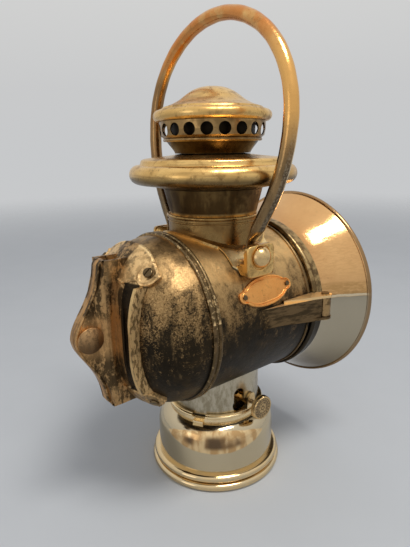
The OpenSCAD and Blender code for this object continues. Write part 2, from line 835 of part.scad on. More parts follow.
module brim_lower() {
    pan = [funnel_r - chimney_t, funnel_top];
    mid = [roll_mid, brim_z];
    outer = concat([pan], arc_points(mid, brim_roll_r, -100, 0, 14));
    inner = concat([pan + [0, chimney_t]], arc_points(mid, brim_roll_r - chimney_t, -100, 0, 14));
    color(aged_brass) upright_turn() polygon(concat(outer, reversed(inner)));
}

module brim_upper() {
    mid = [roll_mid, brim_z];
    crown = [[roll_mid - 1.8, brim_z + 7], [roll_mid - 4, brim_top_z - 0.7], [roll_mid - 8, brim_top_z],
        [flue_r + fix_gap, bowl_z]];
    outer = concat(arc_points(mid, brim_roll_r, 0, 108, 14), crown);
    inner = concat(arc_points(mid, brim_roll_r - chimney_t, 0, 108, 14),
        [for (p = crown) [max(p[0] - 0.35, flue_r + fix_gap), p[1] - chimney_t]]);
    color(aged_brass) upright_turn() polygon(concat(outer, reversed(inner)));
}

module vent_bowl() {
    t = chimney_t;
    stem = flue_r + 3.4;
    rise = bowl_top - bowl_z - 0.3;
    rim = gallery_foot_r;
    wide = rim - 1.3 - stem;
    outer = [[stem, bowl_z + 0.3], [stem + 0.07 * wide, bowl_z + 0.14 * rise],
        [stem + 0.34 * wide, bowl_z + 0.37 * rise], [stem + 0.74 * wide, bowl_z + 0.66 * rise],
        [stem + wide, bowl_z + 0.85 * rise]];
    color(aged_brass) upright_turn() {
        polygon(concat([[flue_r + fix_gap, bowl_z + 0.02], [stem, bowl_z + 0.02]], outer,
            [[rim - 0.2, bowl_top - 0.3], [rim - 0.2, bowl_top], [rim - 1.4, bowl_top]],
            reversed([for (p = outer) p + [-t, t * 0.6]]),
            [[flue_r + fix_gap, bowl_z + 0.02 + t]]));
        translate([rim - 0.4, bowl_top - 0.8]) circle(r = 0.8, $fn = small_fn);
    }
}

module vent_gallery() {
    outer = [[gallery_foot_r, bowl_top], [gallery_r - 0.6, gallery_z - 2.8], [gallery_r, gallery_z],
        [gallery_r, gallery_top]];
    color(aged_brass) difference() {
        upright_turn() {
            polygon(concat(outer, reversed([for (p = outer) p - [gallery_t, 0]])));
            ring_profile(gallery_r - 1.4, gallery_r - gallery_t, gallery_top - 0.8, gallery_top);
        }
        for (i = [0:gallery_holes - 1]) around_z(-90 + 360 * (i + 0.5) / gallery_holes)
            translate([gallery_r - 4, 0, gallery_z]) rotate([0, 90, 0])
                cylinder(r = gallery_hole_r, h = 8, $fn = 32);
    }
}

// The cap's outline as shares of its radius and of its rise above the bead
cap_rise = cap_top - cap_bead_z;
cap_shape = [[0.87, 0.2], [0.85, 0.27], [0.8, 0.31], [0.7, 0.38], [0.57, 0.52], [0.455, 0.7],
    [0.36, 0.83], [0.25, 0.93], [0.125, 0.985], [0, 1]];
function cap_outline(drop) =
    [for (p = cap_shape) [max(0, p[0] * cap_r - (p[0] > 0.5 ? 0.6 : 0.3) * drop),
        cap_bead_z + p[1] * cap_rise - drop]];

module cap_dome() {
    t = chimney_t;
    mid = [cap_r - cap_bead_r, cap_bead_z];
    color(aged_brass) upright_turn() {
        polygon(concat([[gallery_r - 1.2, cap_rim_z], [cap_r - cap_bead_r, cap_rim_z]],
            arc_points(mid, cap_bead_r, -90, 80, 10), cap_outline(0),
            reversed([for (p = cap_outline(t)) if (p[0] < gallery_r) p]),
            [[gallery_r - 1.2, cap_bead_z + 1.4]]));
    }
}

module cap_baffle() {
    leg_r = flue_r;
    inner = reversed(cap_outline(chimney_t));
    leg_top = lookup(leg_r, inner) - 0.6;
    color(aged_brass) {
        translate([0, 0, baffle_z]) cylinder(r = baffle_r, h = baffle_t, $fn = round_fn);
        for (i = [0:2]) around_z(120 * i + 30) translate([leg_r, 0, baffle_z + baffle_t])
            cylinder(r = 1, h = leg_top - baffle_z - baffle_t, $fn = small_fn);
    }
}

// Bail
function bend_points(mid, bend, a0, a1, n) =
    [for (i = [1:n]) mid + bend * dir(a0 + (a1 - a0) * i / n)];

// One side of the rod's middle line as [y, z], from the top down to the eye
side_line = concat([top_mid + bail_top_bend * dir(0)],
    bend_points(top_mid, bail_top_bend, 0, bail_top_half, 5),
    bend_points(shoulder_mid, shoulder_bend, bail_top_half, 90, 8),
    bend_points(side_mid, side_bend, 90, 90 + bail_side_turn, 6),
    [for (i = [1:5]) side_end + bail_foot_bend * dir(270 + bail_side_turn) + bail_run * i / 6 * dir(180 + bail_side_turn)],
    bend_points(foot_mid, bail_foot_bend, 270 + bail_side_turn, 270, 4),
    [[leg_y, bail_pivot_z + rivet_r]]);
bail_line = concat([for (i = [len(side_line) - 1:-1:1]) [-side_line[i][0], side_line[i][1]]], side_line);
rod_sides = 20;

function unit(v) = v / norm(v);
function line_dir(v, i) = unit(v[min(i + 1, len(v) - 1)] - v[max(i - 1, 0)]);

// Points of one ring round the rod: flattened next to the eye, round above it
function rod_ring(i) =
    let (c = bail_line[i], t = line_dir(bail_line, i), n = [t[1], -t[0]])
    let (deep = lookup(c[1], [[rod_flat_z, eye_t / 2 - 0.05], [rod_round_z, bail_r]]))
    [for (k = [0:rod_sides - 1])
        let (a = 360 * k / rod_sides, off = deep * cos(a) * n)
        [bail_r * sin(a), c[0] + off[0], c[1] + off[1]]];

module bail_rod() {
    rings = len(bail_line);
    n = rod_sides;
    skin = [for (i = [0:rings - 2]) for (k = [0:n - 1]) for (half = [0, 1])
        let (a = i * n + k, b = i * n + (k + 1) % n)
        half == 0 ? [a, b, a + n] : [b, b + n, a + n]];
    polyhedron(points = [for (i = [0:rings - 1]) each rod_ring(i)],
        faces = concat(skin, [[for (k = [n - 1:-1:0]) k]], [[for (k = [0:n - 1]) (rings - 1) * n + k]]));
}

module bail_eye() {
    translate([0, eye_in, bail_pivot_z]) rotate([-90, 0, 0]) cylinder(r = eye_r, h = eye_t, $fn = small_fn);
}

module bail_eye_bore() {
    translate([0, eye_in - 1, bail_pivot_z]) rotate([-90, 0, 0])
        cylinder(r = rivet_r + pin_gap, h = eye_t + 2, $fn = small_fn);
}

module bail() {
    color(copper) translate([-bail_back, 0, bail_pivot_z]) rotate([0, bail_lean, 0])
        translate([0, 0, -bail_pivot_z]) difference() {
            union() {
                bail_rod();
                both_sides() bail_eye();
            }
            both_sides() bail_eye_bore();
        }
}

module both_sides() {
    children();
    mirror([0, 1, 0]) children();
}

module at_pivot(y) {
    translate([-bail_back, y, bail_pivot_z]) rotate([-90, 0, 0]) children();
}

// The lug's face seen from its side, as [x, z] about the pivot
module lug_face() {
    w = lug_half_w;
    foot = lug_foot_z - bail_pivot_z;
    hull() for (side = [-1, 1]) {
        translate([side * (w - 3.5), lug_top_z - bail_pivot_z - 3.5]) circle(r = 3.5, $fn = small_fn);
        translate([side * (w - 1.5), foot + 1.5]) circle(r = 1.5, $fn = small_fn);
    }
}

// The lug stands outside the eye; above the pivot its back is coned, as the rod leans out there
module bail_pads() {
    w = lug_half_w;
    under_eye = bail_pivot_z - eye_r - run_gap;
    color(aged_brass) both_sides() difference() {
        union() {
            translate([-bail_back, lug_out, bail_pivot_z]) rotate([90, 0, 0]) linear_extrude(lug_t) lug_face();
            translate([-bail_back - w, eye_in + 0.6, lug_foot_z])
                cube([2 * w, lug_in - eye_in, under_eye - lug_foot_z]);
        }
        drum_core(saddle_r);
        at_pivot(lug_in - 1) cylinder(r = rivet_r + fix_gap, h = far, $fn = small_fn);
        difference() {
            translate([-far / 2, lug_in - 1, bail_pivot_z - 3]) cube([far, 4.6, far]);
            at_pivot(lug_in - 1) cylinder(r1 = 3.6, r2 = 10.1, h = 4.6, $fn = small_fn);
        }
    }
}

module bail_rivets() {
    dome = (rivet_head_r * rivet_head_r + rivet_head_h * rivet_head_h) / (2 * rivet_head_h);
    color(brass) both_sides() {
        at_pivot(rivet_in) cylinder(r = rivet_r, h = lug_out - rivet_in + 0.1, $fn = small_fn);
        at_pivot(rivet_in - rivet_foot_t) cylinder(r = rivet_r + 1, h = rivet_foot_t, $fn = small_fn);
        intersection() {
            at_pivot(lug_out + rivet_head_h - dome) sphere(r = dome, $fn = round_fn);
            at_pivot(lug_out) cylinder(r = far, h = far);
        }
    }
}

// Nameplate
module plate_outline() {
    end_r = 3.1;
    scale([1, plate_h / (plate_l - 5), 1]) circle(d = plate_l - 5, $fn = round_fn);
    for (side = [-1, 1]) translate([side * (plate_l / 2 - end_r), 0]) circle(r = end_r, $fn = small_fn);
}

module nameplate() {
    color(copper) difference() {
        on_drum(plate_angle) rotate([0, 0, plate_tilt]) intersection() {
            rotate([0, 0, -plate_tilt]) rotate([-plate_angle, 0, 0]) translate([0, 0, -drum_z])
                drum_core(drum_r + plate_t);
            linear_extrude(far) plate_outline();
        }
        drum_core(drum_r);
        plate_pin_places() cylinder(r = 0.8 + fix_gap, h = far, $fn = 24);
    }
}

module plate_pin_places() {
    for (side = [-1, 1]) on_drum(plate_angle) rotate([0, 0, plate_tilt])
        translate([side * (plate_l / 2 - 3.1), 0, 0]) children();
}

module nameplate_pins() {
    color(brass) plate_pin_places() {
        translate([0, 0, drum_r + 0.05]) cylinder(r = 0.8, h = plate_t + 0.1, $fn = 24);
        translate([0, 0, drum_r + plate_t + 0.05]) cylinder(r = 1.3, h = 0.6, $fn = 24);
    }
}

// Hinge and door
module hinge_arm() {
    low = arm_z - arm_h / 2;
    color(black_brass) difference() {
        union() {
            translate([0, 0, low]) linear_extrude(arm_h)
                polygon([[-arm_back, -drum_r + 6], [-arm_back, -drum_r + 0.6],
                    [arm_front, -hinge_y - 1.2], [arm_front, -drum_r + 6]]);
            for (z = [low - strap_t, low + arm_h]) translate([0, 0, z]) {
                linear_extrude(strap_t) polygon([[10, -drum_r + 6], [10, -drum_r - 0.6], [hinge_x, -hinge_y - strap_r],
                    [hinge_x, -hinge_y + strap_r], [arm_front - 2, -drum_r + 6]]);
                translate([hinge_x, -hinge_y, 0]) cylinder(r = strap_r, h = strap_t, $fn = small_fn);
            }
        }
        drum_core(drum_r);
        drum_turn() ring_profile(0, drum_r + 1.1, drum_front - 2.4, drum_front);
        drum_turn() ring_profile(0, door_bead_r + 0.4, drum_front, far);
        translate([hinge_x, -hinge_y, 0]) cylinder(r = hinge_pin_r + fix_gap, h = far, $fn = small_fn);
    }
}

module hinge_pin() {
    low = arm_z - arm_h / 2 - strap_t;
    top = arm_z + arm_h / 2 + strap_t;
    color(brass) translate([hinge_x, -hinge_y, 0]) {
        translate([0, 0, low]) cylinder(r = hinge_pin_r, h = top - low, $fn = small_fn);
        translate([0, 0, top]) cylinder(r = hinge_pin_r + 0.7, h = 0.8, $fn = small_fn);
        translate([0, 0, low - 0.8]) cylinder(r = hinge_pin_r + 0.7, h = 0.8, $fn = small_fn);
    }
}

module door_ring() {
    barrel_h = arm_h - 2 * run_gap;
    color(brass) difference() {
        union() {
            drum_turn() {
                ring_profile(lens_r - 1.8, door_wall_r - 1.2, door_back, lens_seat_x);
                ring_profile(lens_r - 1.8, door_wall_r, door_bead_x - 1, lens_seat_x);
                ring_profile(lens_bore_r, door_wall_r, lens_seat_x, door_front);
                translate([door_bead_r - door_bead_minor, door_bead_x]) circle(r = door_bead_minor, $fn = small_fn);
            }
            translate([hinge_x, -hinge_y, arm_z - barrel_h / 2]) {
                cylinder(r = hinge_barrel_r, h = barrel_h, $fn = small_fn);
                translate([-1.5, 0, 0]) cube([2.2, hinge_y - door_bead_r + 1.6, barrel_h]);
            }
        }
        translate([hinge_x, -hinge_y, 0]) cylinder(r = hinge_pin_r + pin_gap, h = far, $fn = small_fn);
    }
}

module lens_gasket() {
    color("#2a2724") drum_turn() ring_profile(lens_r - 1.8, lens_bore_r - 0.1, lens_seat_x, lens_x);
}

module lens_glass() {
    bulge = (lens_r * lens_r + lens_rise * lens_rise) / (2 * lens_rise);
    face_r = lens_r - 1.8;
    half = asin(face_r / bulge);
    drop = bulge * cos(half);
    color(glass) drum_turn() polygon(concat(
        [[0, lens_x], [lens_r, lens_x], [lens_r, lens_x + lens_t]],
        [for (i = [0:12]) let (a = half * (1 - i / 12))
            [bulge * sin(a), lens_x + lens_t + bulge * cos(a) - drop]]));
}

module lens_retainer() {
    color(brass) drum_turn()
        ring_profile(lens_r - 1.5, lens_bore_r - fix_gap, retainer_x + 0.02, retainer_x + retainer_t);
}

// The bell's outer outline, from its root to its rim
function bell_points(n = 14) =
    let (span = bell_front - bell_bead_r - bell_flare_x)
    [for (i = [0:n])
        [bell_root_r + (bell_r - bell_root_r) * pow(i / n, bell_power), bell_flare_x + span * i / n]];

module bell_hood() {
    color(brass) difference() {
        drum_turn() polygon(concat([[bell_root_r, bell_root_back]], bell_points(),
            reversed([for (p = bell_points()) p - [bell_t, 0]]), [[bell_root_r - bell_t, bell_root_back]]));
        drum_turn() translate([bell_r, bell_front]) circle(r = bell_bead_r + fix_gap, $fn = small_fn);
    }
}

module bell_rim() {
    color(brass) drum_turn() translate([bell_r, bell_front]) circle(r = bell_bead_r, $fn = small_fn);
}

module catch_stud() {
    color(brass) difference() {
        translate([catch_x, door_wall_r - 3, drum_z]) rotate([-90, 0, 0])
            cylinder(r = 1.5, h = catch_y - door_wall_r + 3, $fn = small_fn);
        drum_turn() ring_profile(0, bell_root_r, 0, far);
    }
}

module catch_spring() {
    w = 7;
    leaf_t = 0.8;
    leaf_y = catch_y + run_gap;
    color(steel) difference() {
        union() {
            translate([8, drum_r - 4, drum_z - w / 2]) cube([9, leaf_y + leaf_t - drum_r + 4, w]);
            translate([8, leaf_y, drum_z - w / 2]) cube([catch_x - 6, leaf_t, w]);
            translate([12.5, leaf_y + leaf_t, drum_z]) rotate([-90, 0, 0]) cylinder(r = 2, h = 1, $fn = small_fn);
        }
        drum_core(drum_r);
    }
}

// Bracket: the fin's outline behind the socket, as [x, z] above and below the drum's axis
function fin_x(h) =
    -fin_root - (fin_back - fin_root) * (0.82 * exp(-pow(h / fin_spread, 2)) + 0.18 * (1 - abs(h) / fin_half_h));

module fin_outline(front) {
    n = 24;
    polygon(concat(
        [for (i = [-n:n]) let (h = fin_half_h * i / n) [fin_x(h), h]],
        [[front, fin_half_h], [front, -fin_half_h]]));
}

module fin_slab(y0, y1, front) {
    translate([0, y1, drum_z]) rotate([90, 0, 0]) linear_extrude(y1 - y0) fin_outline(front);
}

// One cheek seen from above: flat on the core, then bulged out around the socket
module cheek_section() {
    a = core_t / 2;
    back = socket_back;
    polygon([[-far, -a], [-back - cheek_t - 1, -a], [-back - 0.6, -bulge_y + cheek_t], [-dome_back + 8, -bulge_y + cheek_t],
        [-dome_back + 8, -bulge_y], [-back, -bulge_y], [-back - cheek_t - 1.6, -a - cheek_t], [-far, -a - cheek_t]]);
}

module cheek_near() {
    color(aged_brass) difference() {
        union() {
            intersection() {
                translate([0, 0, drum_z - fin_half_h]) linear_extrude(2 * fin_half_h) cheek_section();
                fin_slab(-far, far, -40);
            }
            for (x = [-socket_back + 0.4, -plate_back - 1.2])
                translate([x, -bulge_y, drum_z - fin_half_h]) cylinder(r = 0.9, h = 2 * fin_half_h, $fn = 24);
            intersection() {
                dome_solid(back_t + flange_t);
                translate([-far, -bulge_y - flange_w, drum_z - plate_half_h])
                    cube([far - 44, flange_w + cheek_t / 2, 2 * plate_half_h]);
            }
        }
        dome_solid(back_t);
        translate([-clamp_back, 0, drum_z]) rotate([90, 0, 0]) cylinder(r = clamp_r + fix_gap, h = far, $fn = small_fn);
    }
}

module cheek_far() {
    mirror([0, 1, 0]) cheek_near();
}

module fin_core() {
    color(copper) difference() {
        intersection() {
            fin_slab(-core_t / 2, core_t / 2, -40);
            translate([-far, -far / 2, 0]) cube([far - socket_back - cheek_t - 1, far, far]);
        }
        translate([-clamp_back, far / 2, drum_z]) rotate([90, 0, 0])
            cylinder(r = clamp_r + fix_gap, h = far, $fn = small_fn);
    }
}

module back_outline() {
    square([2 * plate_half_w, 2 * plate_half_h], center = true);
    for (up = [0, 180]) rotate([0, 0, up]) intersection() {
        circle(r = ear_out_r, $fn = round_fn);
        union() {
            difference() {
                polygon([[0, 0], far * [-sin(ear_screw_angle), cos(ear_screw_angle)], [0, far],
                    far * [sin(ear_screw_angle), cos(ear_screw_angle)]]);
                circle(r = ear_in_r, $fn = round_fn);
            }
            for (side = [-1, 1])
                translate(ear_screw_r * [side * sin(ear_screw_angle), cos(ear_screw_angle)])
                    circle(r = ear_end_r, $fn = small_fn);
        }
    }
}

module bracket_back() {
    rib_w = 2.4;
    rib_up = 2.6;
    rib_half_h = plate_half_h - 1;
    color(aged_brass) difference() {
        union() {
            intersection() {
                dome_solid(back_t);
                translate([0, 0, drum_z]) rotate([0, -90, 0]) rotate([0, 0, 90]) linear_extrude(far) back_outline();
            }
            intersection() {
                dome_solid(back_t + rib_up);
                for (side = [-1, 1]) translate([-far, side * plate_half_w - rib_w / 2, drum_z - rib_half_h])
                    cube([far - 44, rib_w, 2 * rib_half_h]);
            }
        }
        dome_solid(0);
        ear_screw_places() cylinder(r = 1.3 + fix_gap, h = far, center = true, $fn = 24);
    }
}

module ear_screw_places() {
    for (up = [0, 180]) for (side = [-1, 1]) translate([0, 0, drum_z]) rotate([up + side * ear_screw_angle, 0, 0])
        translate([-ear_screw_x, 0, ear_screw_r]) rotate([0, -35, 0]) children();
}

module ear_screws() {
    color(brass) difference() {
        ear_screw_places() translate([0, 0, -0.5]) {
            cylinder(r = 1.3, h = 4, $fn = 24);
            translate([0, 0, 3]) cylinder(r = screw_head_r, h = 1.2, $fn = 24);
        }
        dome_solid(0.05);
    }
}

module clamp_bolt() {
    h = 4;
    dome = (clamp_head_r * clamp_head_r + h * h) / (2 * h);
    color(aged_brass) translate([-clamp_back, 0, drum_z]) rotate([90, 0, 0]) {
        translate([0, 0, -fin_half_t - 3.4]) cylinder(r = clamp_r, h = 2 * fin_half_t + 3.4, $fn = small_fn);
        intersection() {
            translate([0, 0, fin_half_t + h - dome]) sphere(r = dome, $fn = round_fn);
            translate([0, 0, fin_half_t]) cylinder(r = far, h = far);
        }
    }
}

module clamp_nut() {
    color(brass) translate([-clamp_back, fin_half_t, drum_z]) rotate([-90, 0, 0]) difference() {
        cylinder(r = 5, h = 2.8, $fn = 6);
        translate([0, 0, -1]) cylinder(r = clamp_r + fix_gap, h = 6, $fn = small_fn);
    }
}

font_shell();
font_base();
foot_ring();
bayonet_ring();
burner_collar();
burner_body();
burner_gallery();
wick_tube();
burner_cap();
spindle_bush();
wick();
wick_spindle();
wick_knob();
neck_sleeve();
drum_barrel();
rear_dome();
seam_band();
front_ring();
reflector();
reflector_clips();
saddle_plate();
chimney_collar();
inner_flue();
funnel();
brim_lower();
brim_upper();
vent_bowl();
vent_gallery();
cap_dome();
cap_baffle();
bail();
bail_pads();
bail_rivets();
nameplate();
nameplate_pins();
hinge_arm();
hinge_pin();
door_ring();
lens_gasket();
lens_glass();
lens_retainer();
bell_hood();
bell_rim();
catch_stud();
catch_spring();
bracket_back();
cheek_near();
cheek_far();
fin_core();
clamp_bolt();
clamp_nut();
ear_screws();
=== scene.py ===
# %% [markdown]
# # An oil side lamp of an early motor car
# This lamp burned paraffin and hung at the side of a car's bonnet. It is drawn sheet brass in
# rings and shells: an oil font below, a drum with a flared bell in front, a vented chimney on
# top, a swinging bail to carry it, and a socket behind that slid over an iron on the car.
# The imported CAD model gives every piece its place. This lesson gives the pieces their finish,
# and makes again, as smooth surfaces worked out with numpy, the ones that catch the light.

import json
import math

import bmesh
import bpy
import numpy as np
from mathutils import Matrix, Vector


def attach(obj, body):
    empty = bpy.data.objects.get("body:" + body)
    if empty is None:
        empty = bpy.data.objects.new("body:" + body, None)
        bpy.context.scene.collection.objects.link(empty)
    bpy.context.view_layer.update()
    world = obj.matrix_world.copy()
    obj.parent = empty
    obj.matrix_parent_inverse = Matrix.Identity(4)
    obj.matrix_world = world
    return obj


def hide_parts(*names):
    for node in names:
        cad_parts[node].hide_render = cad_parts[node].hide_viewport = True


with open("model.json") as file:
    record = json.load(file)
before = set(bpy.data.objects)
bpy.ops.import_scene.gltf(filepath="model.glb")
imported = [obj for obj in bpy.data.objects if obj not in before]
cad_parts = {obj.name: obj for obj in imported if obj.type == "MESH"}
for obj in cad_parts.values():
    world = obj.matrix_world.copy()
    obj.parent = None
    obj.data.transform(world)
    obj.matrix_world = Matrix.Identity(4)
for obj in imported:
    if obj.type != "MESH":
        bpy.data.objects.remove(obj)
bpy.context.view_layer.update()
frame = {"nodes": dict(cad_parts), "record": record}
MM = 0.001

# %% [markdown]
# ## The camera
# The photograph was taken a little above the drum, from behind and to the left, quite close.
# Circles of known size in it (foot, neck, brim, gallery, seam and rim) fix where the camera
# stood. Its three directions are written out, and the lens follows from the picture's height.

# %% Camera
PICTURE_HEIGHT = 547
FOCAL_PIXELS = 450.0
view_right = Vector((0.782504, -0.622470, -0.014811))
view_up = Vector((0.176099, 0.198432, 0.964165))
view_ahead = Vector((0.597225, 0.757071, -0.264890))
view_from = Vector((-0.160401, -0.194970, 0.187331))
camera_data = bpy.data.cameras.new("photo_camera")
camera_data.sensor_fit = "VERTICAL"
camera_data.sensor_height = 36.0
camera_data.lens = FOCAL_PIXELS / PICTURE_HEIGHT * camera_data.sensor_height
camera_data.clip_start = 0.01
camera = bpy.data.objects.new("photo_camera", camera_data)
turn = Matrix((view_right, view_up, -view_ahead)).transposed().to_4x4()
camera.matrix_world = Matrix.Translation(view_from) @ turn
bpy.context.scene.collection.objects.link(camera)
bpy.context.scene.camera = camera
bpy.context.scene.view_settings.view_transform = "Standard"
print("lens:", round(camera_data.lens, 3))

# %% [markdown]
# ## Shared sizes
# Finishes and shapes both need to know where the drum, the knob and the bail's pivots are. These
# are the CAD model's own sizes, in millimetres: X runs ahead, Y to the far side and Z up.

# %% Shared sizes
DRUM_Z, DRUM_R, DRUM_T, SEAM_BACK = 100.0, 45.0, 1.0, 35.3
KNOB_X, KNOB_Z = 4.5, 45.5
PIVOT_X, PIVOT_Z = -4.5, 135.8
print("drum's axis at", DRUM_Z, "mm, pivots at", PIVOT_Z, "mm")

# %% [markdown]
# ## Words for the node trees
# A finish on old metal is layers: the metal, what wore off, what settled on it. Each layer is a
# pattern in the object's own coordinates, so it stays on the piece from any side. The class
# below only shortens the writing: each method adds one or two nodes and returns the socket that
# comes out.


# %% Node helpers
class Tree:
    """A node tree, whose methods add nodes and return sockets. Lengths are in metres."""

    def __init__(self, tree):
        self.tree = tree
        tree.nodes.clear()

    def node(self, kind, inputs=None, **settings):
        made = self.tree.nodes.new(kind)
        for key, value in settings.items():
            setattr(made, key, value)
        for key, value in (inputs or {}).items():
            self.feed(made.inputs[key], value)
        return made

    def feed(self, entry, value):
        """Links a socket to an input, or sets the input to a number or a colour."""
        if isinstance(value, bpy.types.NodeSocket):
            self.tree.links.new(value, entry)
        elif entry.type == "RGBA":
            entry.default_value = (*value[:3], 1.0)
        else:
            entry.default_value = value

    def sum(self, a, b, operation="ADD", clamp=False):
        return self.node("ShaderNodeMath", {0: a, 1: b}, operation=operation, use_clamp=clamp).outputs[0]

    def minus(self, a, b):
        return self.sum(a, b, "SUBTRACT")

    def most(self, a, b):
        return self.sum(a, b, "MAXIMUM")

    def size(self, value):
        """The value without its sign."""
        return self.sum(value, 0.0, "ABSOLUTE")

    def both(self, *masks):
        """The product: 1 only where every mask is 1."""
        made = masks[0]
        for mask in masks[1:]:
            made = self.sum(made, mask, "MULTIPLY")
        return made

    def either(self, a, b):
        """Two masks laid over each other, from 0 to 1."""
        return self.sum(a, b, clamp=True)

    def ramp(self, value, low, high, start=0.0, end=1.0):
        """A smooth step of value from start at low to end at high."""
        inputs = {"Value": value, "From Min": low, "From Max": high, "To Min": start, "To Max": end}
        return self.node("ShaderNodeMapRange", inputs, interpolation_type="SMOOTHSTEP").outputs[0]

    def band(self, value, middle, half, soft):
        """1 within half of middle, falling to 0 over soft on each side."""
        return self.ramp(self.size(self.minus(value, middle)), half, half + soft, 1.0, 0.0)


# %% [markdown]
# A finish is such a tree with a metal shader at its end. It keeps the colour, roughness and
# relief so far, and lays the next tone over them. Noise and spots are its patterns, and the
# distances from the lamp's two long axes say where a layer belongs.


# %% Finish helpers
class Finish(Tree):
    """One material. Its colour, roughness and relief grow layer by layer until it is closed."""

    def __init__(self, name, metallic=1.0, roughness=0.3):
        self.material = bpy.data.materials.new(name)
        self.material.use_nodes = True
        super().__init__(self.material.node_tree)
        self.output = self.node("ShaderNodeOutputMaterial")
        self.shader = self.node("ShaderNodeBsdfPrincipled", {"Metallic": metallic})
        self.tree.links.new(self.shader.outputs[0], self.output.inputs[0])
        self.place = self.node("ShaderNodeTexCoord").outputs["Object"]
        self.x, self.y, self.z = self.node("ShaderNodeSeparateXYZ", {0: self.place}).outputs
        self.colour, self.rough, self.relief = None, roughness, None

    def noise(self, size, detail=4.0, rough=0.55, stretch=(1, 1, 1), shift=(0, 0, 0), warp=0.0):
        """Cloudy noise whose blotches are about size across, drawn out where stretch is small."""
        place = self.place
        if stretch != (1, 1, 1) or shift != (0, 0, 0):
            moved = {"Vector": place, "Scale": stretch, "Location": shift}
            place = self.node("ShaderNodeMapping", moved).outputs[0]
        inputs = {"Vector": place, "Scale": 1.0 / size, "Detail": detail, "Roughness": rough,
                  "Distortion": warp}
        return self.node("ShaderNodeTexNoise", inputs).outputs["Fac"]

    def spots(self, size):
        """Distance to the nearest of scattered points, in cells of about size."""
        inputs = {"Vector": self.place, "Scale": 1.0 / size}
        return self.node("ShaderNodeTexVoronoi", inputs).outputs["Distance"]

    def radius(self, first, second):
        """Distance from an axis, from the two coordinates that run across it."""
        return self.sum(self.sum(self.both(first, first), self.both(second, second)), 0.5, "POWER")

    def drum_radius(self):
        """Distance from the drum's axis, which runs along X."""
        return self.radius(self.y, self.sum(self.z, -DRUM_Z * MM))

    def font_radius(self):
        """Distance from the upright axis of the font and the chimney."""
        return self.radius(self.x, self.y)

    def mix(self, amount, a, b):
        """From colour a to colour b as the amount goes from 0 to 1."""
        return self.node("ShaderNodeMix", {0: amount, 6: a, 7: b}, data_type="RGBA").outputs[2]

    def over(self, colour, tone, *masks):
        """The tone over a colour, as strongly as the product of the masks and amounts."""
        return self.mix(self.both(*masks), colour, tone)

    def lay(self, tone, *masks):
        """Lays a tone over the finish's own colour so far."""
        self.colour = self.over(self.colour, tone, *masks)

    def bump(self, height, depth):
        """Lays a relief over those before it; depth is its full height in metres."""
        inputs = {"Height": height, "Distance": depth, "Strength": 1.0}
        if self.relief is not None:
            inputs["Normal"] = self.relief
        self.relief = self.node("ShaderNodeBump", inputs).outputs[0]

    def close(self):
        """Joins the layers to the shader and returns the material."""
        for entry, value in (("Base Color", self.colour), ("Roughness", self.rough), ("Normal", self.relief)):
            if value is not None:
                self.feed(self.shader.inputs[entry], value)
        return self.material


finishes = {}

# %% [markdown]
# ## Nickel plate
# The font and the neck are nickel over brass, and old nickel is warmer than new. On the font's
# shoulder one long lens-shaped patch of gold and brown is a painted reflection of a warm room.
# The patch is a height that is symmetric about the way it faces: the cosine between a point and
# that way gives its share of the patch's length, and a power of the share gives the half height.

# %% Painted reflection patch
nickel = Finish("nickel_plate")
PATCH_WAY = (-0.635, -0.772)
PATCH_END, PATCH_HALF, PATCH_UP, PATCH_SAG = 0.616, 0.0062, 0.0292, 0.0008
mottle = nickel.noise(0.0050, 3, 0.5, stretch=(1, 1, 0.45), warp=0.4)
soft = nickel.noise(0.011, 2, 0.4, stretch=(1, 1, 0.3), shift=(0.4, 0.1, 0))
reach = nickel.sum(nickel.both(nickel.x, PATCH_WAY[0]), nickel.both(nickel.y, PATCH_WAY[1]))
facing = nickel.sum(reach, nickel.font_radius(), "DIVIDE")
share = nickel.most(nickel.both(nickel.sum(facing, -PATCH_END), 1 / (1 - PATCH_END)), 0.0001)
patch_half = nickel.both(nickel.sum(share, 0.8, "POWER"), PATCH_HALF)
patch_middle = nickel.minus(PATCH_UP, nickel.both(share, PATCH_SAG))
patch_away = nickel.minus(nickel.size(nickel.minus(nickel.z, patch_middle)), patch_half)
patch_edge = nickel.sum(patch_away, nickel.both(nickel.sum(mottle, -0.5), 0.0010))
# Painted reflection: this lens-shaped gold and brown patch stands in for a warm room seen in the nickel.
painted_reflection = nickel.ramp(patch_edge, 0.0004, -0.0004)
patch_heart = nickel.ramp(patch_away, -0.0012, -0.0044)
gold = nickel.mix(nickel.ramp(mottle, 0.40, 0.60), (0.66, 0.40, 0.17), (1.0, 0.72, 0.38))
dark = nickel.mix(nickel.ramp(soft, 0.50, 0.62), (0.27, 0.145, 0.060), (0.11, 0.058, 0.028))
gold = nickel.over(gold, dark, patch_heart, nickel.ramp(soft, 0.44, 0.54, 0.08, 0.97))
print("patch on the shoulder at", PATCH_UP, "m")

# %% [markdown]
# The neck, under the heat of the drum, has gone dull and mottled, and the foot ring is tinted a
# mottled gold, a painted warm highlight. Two kinds of relief are enough: slow dents and fine scratches.

# %% Nickel plate
smear = nickel.noise(0.030, 3, 0.5)
dull = nickel.noise(0.0048, 5, 0.68, stretch=(1, 1, 0.45), shift=(0.2, 0.6, 0.1))
scratch = nickel.noise(0.0009, 3, 0.6, stretch=(0.25, 0.25, 1))
on_foot = nickel.ramp(nickel.z, 0.0096, 0.0088)
on_neck = nickel.ramp(nickel.z, 0.0395, 0.0402)
nickel.colour = nickel.mix(smear, (0.58, 0.475, 0.31), (0.68, 0.57, 0.385))
nickel.lay(gold, painted_reflection, 0.92)
# Painted highlight: warm gold laid over the whole foot ring, mottled.
nickel.lay((0.80, 0.58, 0.30), on_foot, nickel.ramp(mottle, 0.3, 0.6, 0.35, 0.75))
nickel.lay(nickel.mix(nickel.ramp(dull, 0.42, 0.60), (0.53, 0.465, 0.345), (0.34, 0.285, 0.190)), on_neck)
nickel.rough = nickel.sum(nickel.ramp(smear, 0.3, 0.7, 0.10, 0.17), nickel.both(on_neck, 0.16))
nickel.rough = nickel.sum(nickel.rough, nickel.both(painted_reflection, 0.06))
